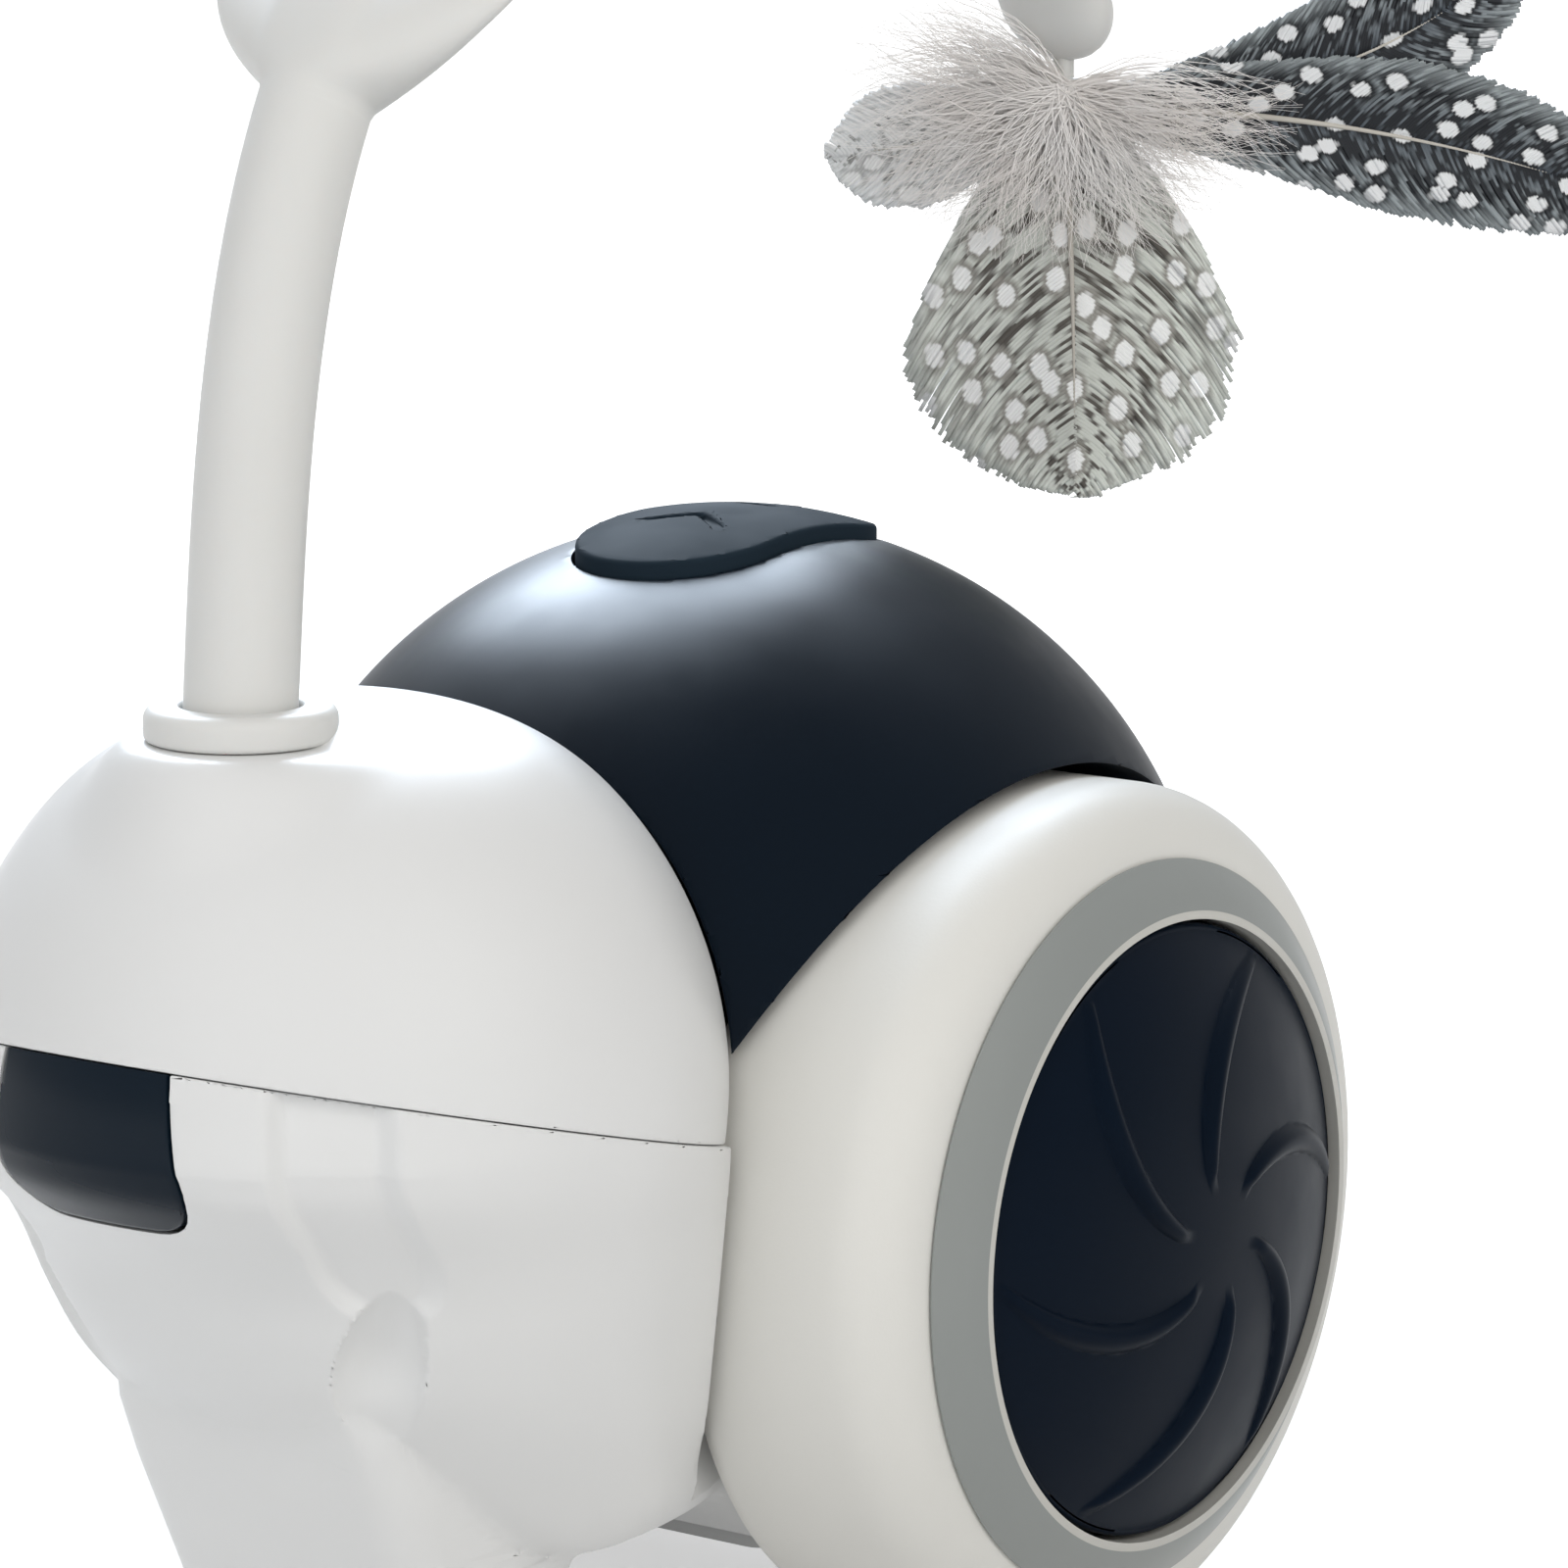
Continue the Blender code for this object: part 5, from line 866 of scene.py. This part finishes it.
# Feathers
# Four natural feathers on their quills, two pale grey and two dark ones, all with white spots. Each
# vane is made barb by barb, so it catches light in fine streaks and frays at its edge.
LURE_TURN = radians(36.5)
FACING = Vector((sin(LURE_TURN), -cos(LURE_TURN), 0))
RIGHTWARD = Vector((cos(LURE_TURN), sin(LURE_TURN), 0))
UPWARD = Vector((0, 0, 1))
ROOT_SPREAD = 1.2 * mm
BARB_PITCH = 0.3 * mm
BARB_THICKNESS = 0.09 * mm
BARB_SLANT = 1.05
BARB_FLARE = 0.25
BARB_SWEEP = 0.3
BARB_ROOT_WIDTH = 0.95
BARB_NARROWING = 0.25
BARB_LIFT = 0.15 * mm
BARB_TILT = 0.06 * mm
BARB_STEPS = 9
FIRST_BARB = 0.06
CLUMP_CHANCE = 0.07
CLUMP_SHIFT = 0.5 * mm
CLUMP_LIFT = 0.3 * mm
CLUMP_SHRINK = 0.04
SHORTEST_BARB = 0.93
VANE_CUP = 1.5 * mm
VANE_SWELL = 0.6
BEND_STEPS = 200
OUTLINE_STEPS = 2000
QUILL_RADIUS = 0.5 * mm
QUILL_SHARE = 0.8
QUILL_TAPER = 0.85
clip_end = Vector((0, clip_middle.y, clip_low.z - FIT_GAP))
right_root = clip_end + RIGHTWARD * ROOT_SPREAD - UPWARD * ROOT_SPREAD / 2
left_root = clip_end - RIGHTWARD * ROOT_SPREAD - UPWARD * ROOT_SPREAD / 2


def feather_material(name, pale, streak, dark, ring, spot, pitch, spot_size, coverage):
    """Keratin barbs: pale at their tips, streaked barb by barb, with rows of pale spots in dark rings."""
    material, tree = new_material(name)
    barbs = add(tree, "UVMap", uv_map="barbs").outputs["UV"]
    strand = add(tree, "UVMap", uv_map="strand").outputs["UV"]
    rows = add(tree, "Mapping", {"Vector": barbs, "Scale": (1.15 / pitch, 0.85 / pitch, 1)})
    spots = add(tree, "TexVoronoi", {"Vector": rows, "Scale": 1, "Randomness": 0.8}, voronoi_dimensions="2D")
    comb = add(tree, "Mapping", {"Vector": strand, "Scale": (7.3, 3.1, 1)})
    fray = add(tree, "TexNoise", {"Vector": comb, "Scale": 1, "Detail": 1})
    reach = add(tree, "Math", {0: fray, 1: 0.15, 2: spots}, operation="MULTIPLY_ADD")
    pale_spot, dark_ring, band = (
        add(tree, "MapRange", {"Value": value, "From Min": none, "From Max": full})
        for value, none, full in (
            (reach, spot_size + 0.15, spot_size + 0.1),
            (reach, spot_size + 0.3, spot_size + 0.18),
            (fray, coverage + 0.08, coverage - 0.02)))
    far = add(tree, "SeparateXYZ", {"Vector": strand})
    tips = add(tree, "MapRange", {"Value": far.outputs["Y"], "From Min": 0.6, "To Min": 1, "To Max": 0.2})
    band, dark_ring = (add(tree, "Math", {0: share, 1: tips}, operation="MULTIPLY")
                       for share in (band, dark_ring))
    tint = colour(streak)
    for share, tone in ((far.outputs["Y"], pale), (band, dark), (dark_ring, ring), (pale_spot, spot)):
        tint = add(tree, "Mix", {"Factor": share, 6: tint, 7: colour(tone)}, data_type="RGBA").outputs[2]
    shader = add(tree, "BsdfPrincipled", {"Base Color": tint, "Roughness": 0.6})
    add(tree, "OutputMaterial", {"Surface": shader})
    return material


def feather(name, root, heading, bend, length, half_width, fullest, vane, quill, seed):
    """One feather: a tapered quill that bends in the feather's plane, with a vane of barbs on each side."""
    chance = random.Random(seed)
    quill_length = length * QUILL_SHARE
    heading = heading.normalized()
    side_way = FACING.cross(heading).normalized()
    points = [root.copy()]
    for place in range(BEND_STEPS):
        turn = Matrix.Rotation(bend * place / BEND_STEPS, 3, FACING)
        points.append(points[-1] + turn @ heading * length / BEND_STEPS)

    def frame_at(along):
        """The quill's point, heading and sideways direction at a distance along it."""
        share = min(1, max(0, along / length))
        turn = Matrix.Rotation(bend * share, 3, FACING)
        place = share * BEND_STEPS
        low = min(BEND_STEPS - 1, int(place))
        return points[low].lerp(points[low + 1], place - low), turn @ heading, turn @ side_way

    def half_width_at(along):
        """The vane's half width at a distance along the quill."""
        share = along / length
        if share >= 1:
            return 0
        swell = (share / fullest) ** VANE_SWELL if share < fullest else 1
        fade = (share - fullest) / (1 - fullest) if share > fullest else 0
        return half_width * min(swell, sqrt(max(0, 1 - fade ** 2)))

    shape = bmesh.new()
    barb_uv = shape.loops.layers.uv.new("barbs")
    strand_uv = shape.loops.layers.uv.new("strand")
    # The barbs' ends lie at even steps along the vane's outline.
    ends = []
    travelled = 0
    last = (0, 0)
    for place in range(1, OUTLINE_STEPS + 1):
        along = length * (FIRST_BARB + (1 - FIRST_BARB) * place / OUTLINE_STEPS)
        here = (half_width_at(along), along)
        travelled += sqrt((here[0] - last[0]) ** 2 + (here[1] - last[1]) ** 2) if place > 1 else 0
        last = here
        if travelled >= BARB_PITCH * len(ends):
            ends.append(here)
    for side in (-1, 1):
        clump = 0
        for number, (out_to, along_to) in enumerate(ends):
            start = max(FIRST_BARB * length / 2, along_to - BARB_SLANT * out_to)
            if chance.random() < CLUMP_CHANCE:
                clump = chance.uniform(-1, 1)
            shrink = chance.uniform(SHORTEST_BARB, 1) - CLUMP_SHRINK * abs(clump)
            along_to = start + (along_to - start) * shrink + clump * CLUMP_SHIFT
            out_to *= shrink
            grid = bmesh.ops.create_grid(shape, x_segments=BARB_STEPS, y_segments=1, size=0.5)["verts"]
            lie = chance.uniform(-1, 1) * BARB_LIFT + clump * CLUMP_LIFT
            tone = chance.random()
            notes = {}
            for vert in grid:
                out = vert.co.x + 0.5
                edge = vert.co.y * 2
                lateral = out_to * out * (1 + BARB_FLARE - BARB_FLARE * out)
                along = start + (along_to - start) * out * (1 - BARB_SWEEP + BARB_SWEEP * out)
                point, forward, across = frame_at(along)
                width = BARB_PITCH * (BARB_ROOT_WIDTH - BARB_NARROWING * out)
                cup = VANE_CUP * (lateral / half_width) ** 2 * (half_width / LEAF_HALF_WIDTH)
                # Each barb has a strip of its own in the streaks' pattern.
                strip = number * 0.37 + 50 * side + tone * 0.2
                notes[vert] = ((lateral * side / mm, along / mm), (strip, out))
                tangent = across * side * out_to * (1 + BARB_FLARE - 2 * BARB_FLARE * out)
                tangent += forward * (along_to - start) * (1 - BARB_SWEEP + 2 * BARB_SWEEP * out)
                vert.co = point + across * side * (lateral - BARB_PITCH / 2)
                vert.co += FACING.cross(tangent.normalized()) * edge * width
                vert.co += FACING * (lie * out + BARB_TILT * edge - cup)
            for face in {face for vert in grid for face in vert.link_faces}:
                for loop in face.loops:
                    loop[barb_uv].uv, loop[strand_uv].uv = notes[loop.vert]
    barbs = piece(f"{name}_vane", shape, vane)
    thickness = barbs.modifiers.new("thickness", "SOLIDIFY")
    thickness.thickness = BARB_THICKNESS
    thickness.offset = 0
    shaft = tube(12, 40)
    for vert in shaft.verts:
        share = vert.co.z + 0.5
        point, forward, across = frame_at(share * quill_length)
        radius = QUILL_RADIUS * (1 - QUILL_TAPER * share)
        vert.co = point + across * vert.co.x * radius + FACING * vert.co.y * radius
    bmesh.ops.recalc_face_normals(shaft, faces=shaft.faces)
    stem = piece(f"{name}_quill", shaft, quill)
    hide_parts(name)
    for made in (barbs, stem):
        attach(made, "lure")


spotted_barbs = feather_material("spotted_feather_barbs", "E6EAE4", "CBCEC8", "57534E", "9A9892", "F8F9F9",
                                 4.8, 0.18, 0.43)
pale_barbs = feather_material("pale_feather_barbs", "F4F6F7", "E8EAEB", "9A9B99", "C6C7C7", "FAFBFB",
                              4.4, 0.15, 0.36)
dark_barbs = feather_material("dark_feather_barbs", "A3ABAE", "4A525B", "10141A", "14181D", "E9EBED",
                              4.4, 0.16, 0.52)
pale_quill = moulded("horn_quill", "DAD6CE", "A8A298", 0.35, 0.5 * mm, 0.002 * mm)
feather("feather_hanging", clip_end + FACING * ROOT_SPREAD, RIGHTWARD * 0.07 - UPWARD, radians(-4), 41 * mm,
        18.5 * mm, 0.62, spotted_barbs, pale_quill, 3)
feather("feather_small", left_root, -RIGHTWARD * 0.95 - UPWARD * 0.32, radians(-14), 24 * mm, 7 * mm, 0.6,
        pale_barbs, pale_quill, 5)
feather("feather_dark_long", right_root, RIGHTWARD + UPWARD * 0.02, radians(-22), 62 * mm, 8.5 * mm, 0.55,
        dark_barbs, pale_quill, 7)
feather("feather_dark_upper", right_root - FACING * ROOT_SPREAD, RIGHTWARD - UPWARD * 0.05, radians(44),
        50 * mm, 8 * mm, 0.6, dark_barbs, pale_quill, 9)

# Down
# A tuft of fluffy under-feathers round the quills: over a thousand fine wavy barbs that spring from
# the clip's end and light up softly from behind.
DOWN_STRANDS = 1700
DOWN_RADIUS = 0.1 * mm
TUFT_WIDTH = 25 * mm
TUFT_DROP = 17 * mm
TUFT_DEPTH = 5 * mm
TUFT_LEFT_RISE = radians(55)
TUFT_RIGHT_RISE = radians(10)
DOWN_TAPER = 0.35
DOWN_SWAY = 0.2
DOWN_WAVE = 0.5 * mm
DOWN_WAVES = 9
DOWN_CLOUD = 9 * mm
fluff = tube(3, 6, DOWN_TAPER)
chance = random.Random(11)
pattern = fluff.verts[:] + fluff.edges[:] + fluff.faces[:]
for number in range(DOWN_STRANDS):
    copied = bmesh.ops.duplicate(fluff, geom=pattern)["geom"]
    made = [item for item in copied if isinstance(item, bmesh.types.BMVert)]
    angle = chance.uniform(-TUFT_RIGHT_RISE, pi + TUFT_LEFT_RISE)
    spread = sqrt(chance.uniform(0.1, 1))
    goal = (clip_end + RIGHTWARD * cos(angle) * TUFT_WIDTH * spread - UPWARD * sin(angle) * TUFT_DROP * spread
            + FACING * (chance.uniform(-1, 1) * sqrt(1.02 - spread ** 2) + 0.6) * TUFT_DEPTH)
    begin = clip_end + FACING * chance.uniform(0.5, 3) * ROOT_SPREAD
    begin += UPWARD * chance.uniform(0, 2) * ROOT_SPREAD
    begin += RIGHTWARD * chance.uniform(-1, 1) * ROOT_SPREAD
    path = goal - begin
    sway = path.cross(FACING).normalized() * path.length * chance.uniform(-DOWN_SWAY, DOWN_SWAY)
    wave = chance.uniform(0, 2 * pi)
    first = path.normalized().orthogonal().normalized()
    second = path.normalized().cross(first)
    for vert in made:
        share = vert.co.z + 0.5
        middle = begin + path * share + sway * sin(pi * share)
        middle += first * sin(wave + DOWN_WAVES * share) * DOWN_WAVE * share
        vert.co = middle + (first * vert.co.x + second * vert.co.y) * DOWN_RADIUS * (1 - 0.5 * share)
bmesh.ops.delete(fluff, geom=[item for item in pattern if isinstance(item, bmesh.types.BMVert)],
                 context="VERTS")
bmesh.ops.recalc_face_normals(fluff, faces=fluff.faces)
down_white, tree = new_material("down_barbs")
place = add(tree, "TexCoord").outputs["Object"]
cloud = add(tree, "TexNoise", {"Vector": place, "Scale": 1 / DOWN_CLOUD, "Detail": 2})
tint = add(tree, "Mix", {"Factor": cloud, 6: colour("FFFFFF"), 7: colour("FAF6F3")}, data_type="RGBA")
lit = add(tree, "BsdfDiffuse", {"Color": tint.outputs[2]})
through = add(tree, "BsdfTranslucent", {"Color": tint.outputs[2]})
both = add(tree, "MixShader", {"Fac": 0.35, 1: lit, 2: through})
add(tree, "OutputMaterial", {"Surface": both})
down = piece("down_fluff", fluff, down_white)
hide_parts("down_tuft")
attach(down, "lure")

# Inner works
# Motors, nylon gears, steel axles and screws, boards, battery and bushes keep their CAD shapes and
# get finishes of their own.
inner_finishes = {
    "steel": moulded("turned_steel", "B9BBBD", "A9ABAE", 0.28, 0.2 * mm, 0.001 * mm, Metallic=1),
    "gear_nylon": moulded("moulded_nylon", "E6E1D2", "DDD7C6", 0.45, 0.3 * mm, 0.003 * mm),
    "frame_plastic": moulded("moulded_acetal", "3A3C3E", "34363A", 0.42, 0.3 * mm, 0.003 * mm),
    "board_green": moulded("printed_board_laminate", "1E5B38", "2A6B45", 0.35, 0.8 * mm, 0.004 * mm),
    "cell_blue": moulded("battery_sleeve", "2E5FA8", "29569A", 0.3, 1.5 * mm, 0.003 * mm),
    "lamp_clear": moulded("clear_lamp_epoxy", "20242C", "2A2E38", 0.12, 1 * mm, 0.001 * mm),
    "white_shell": white_abs,
    "dark_shell": midnight_abs,
}
for node in nodes.values():
    for place in node.material_slots:
        finish = inner_finishes.get(place.material.name.split(".")[0])
        if finish:
            place.material = finish

# Studio
# A pale paper floor in an evenly lit room, a broad softbox over the back left that the dome mirrors,
# and three large fills that light only the matt: from the softbox's place, the front and the
# wheel's side. Floor and room look brighter to the camera and in gloss than they light the toy.
FLOOR_REACH = 6
FIBRE_SIZE = 2 * mm
FIBRE_DEPTH = 0.02 * mm
floor_shape = bmesh.new()
bmesh.ops.create_grid(floor_shape, x_segments=1, y_segments=1, size=FLOOR_REACH)
paper, tree = new_material("white_paper_sweep")


def ray_kinds(tree):
    """Whether a ray comes from the camera, and whether it comes off gloss or through glass."""
    path = add(tree, "LightPath").outputs
    bent = add(tree, "Math", {0: path["Is Glossy Ray"], 1: path["Is Transmission Ray"]}, operation="MAXIMUM")
    return path["Is Camera Ray"], bent


seen, mirrored = ray_kinds(tree)
looked_at = add(tree, "Math", {0: seen, 1: mirrored}, operation="MAXIMUM")
place = add(tree, "TexCoord").outputs["Object"]
fibre = add(tree, "TexNoise", {"Vector": place, "Scale": 1 / FIBRE_SIZE, "Detail": 2})
tooth = add(tree, "Bump", {"Height": fibre, "Strength": 0.3, "Distance": FIBRE_DEPTH})
sheet = add(tree, "BsdfPrincipled", {"Base Color": colour("F0F0F0"), "Roughness": 0.8,
                                               "Specular IOR Level": 0.1, "Normal": tooth})
from_toy = add(tree, "VectorMath", {0: place}, operation="LENGTH")
paler = add(tree, "MapRange", {"Value": from_toy.outputs["Value"], "From Min": 0.1, "From Max": 0.9,
                                         "To Min": 0.5, "To Max": 1})
strength = add(tree, "Math", {0: looked_at, 1: paler}, operation="MULTIPLY")
glow = add(tree, "Emission", {"Strength": strength})
both = add(tree, "AddShader", {0: sheet, 1: glow})
add(tree, "OutputMaterial", {"Surface": both})
floor = piece("studio_floor", floor_shape, paper)

world = bpy.data.worlds.new("soft_room")
bpy.context.scene.world = world
world.use_nodes = True
tree = world.node_tree
tree.nodes.clear()
seen, mirrored = ray_kinds(tree)
looked_at = add(tree, "Math", {0: mirrored, 1: 0.7, 2: seen}, operation="MULTIPLY_ADD")
room_light = add(tree, "MapRange", {"Value": looked_at, "To Min": 0.34, "To Max": 1})
sky = add(tree, "Background", {"Color": colour("FFFFFF"), "Strength": room_light})
add(tree, "OutputWorld", {"Surface": sky})


def lamp(name, spot, aim, size, power, tone, mirrored=False):
    """A square soft lamp, turned towards aim. It is either mirrored in gloss or lights the matt."""
    light = bpy.data.lights.new(name, "AREA")
    light.size = size
    light.energy = power
    light.color = colour(tone)[:3]
    made = bpy.data.objects.new(name, light)
    made.location = spot
    made.rotation_euler = (Vector(aim) - Vector(spot)).to_track_quat("-Z", "Y").to_euler()
    made.visible_glossy = mirrored
    made.visible_diffuse = not mirrored
    bpy.context.scene.collection.objects.link(made)


middle = (Vector(cad_low) + Vector(cad_high)) / 2
softbox_spot = middle + Vector((-0.51, 0.52, 0.75))
lamp("back_softbox", softbox_spot, middle, 0.75, 70, "E2F0FF", mirrored=True)
lamp("back_fill", softbox_spot, middle, 0.75, 7, "E6F2FF")
lamp("front_fill", middle + Vector((0.1, -1.1, 0.7)), middle, 1.2, 5.8, "FFFFFF")
lamp("side_fill", middle + Vector((1.1, -0.3, 0.6)), middle, 1.0, 5.6, "FFFCF7")

# Camera
# The photograph's view: a long lens from the front right, a little above the toy.
LENS_LENGTH = 157.5
SENSOR_WIDTH = 36
CAMERA_SPOT = (399.4 * mm, -530.7 * mm, 202.2 * mm)
CAMERA_TARGET = (7.26 * mm, 0, 80.29 * mm)
lens = bpy.data.cameras.new("photo_lens")
lens.lens = LENS_LENGTH
lens.sensor_width = SENSOR_WIDTH
camera = bpy.data.objects.new("photo_camera", lens)
camera.location = CAMERA_SPOT
camera.rotation_euler = (Vector(CAMERA_TARGET) - camera.location).to_track_quat("-Z", "Y").to_euler()
bpy.context.scene.collection.objects.link(camera)
bpy.context.scene.camera = camera
bpy.context.scene.view_settings.view_transform = "Standard"
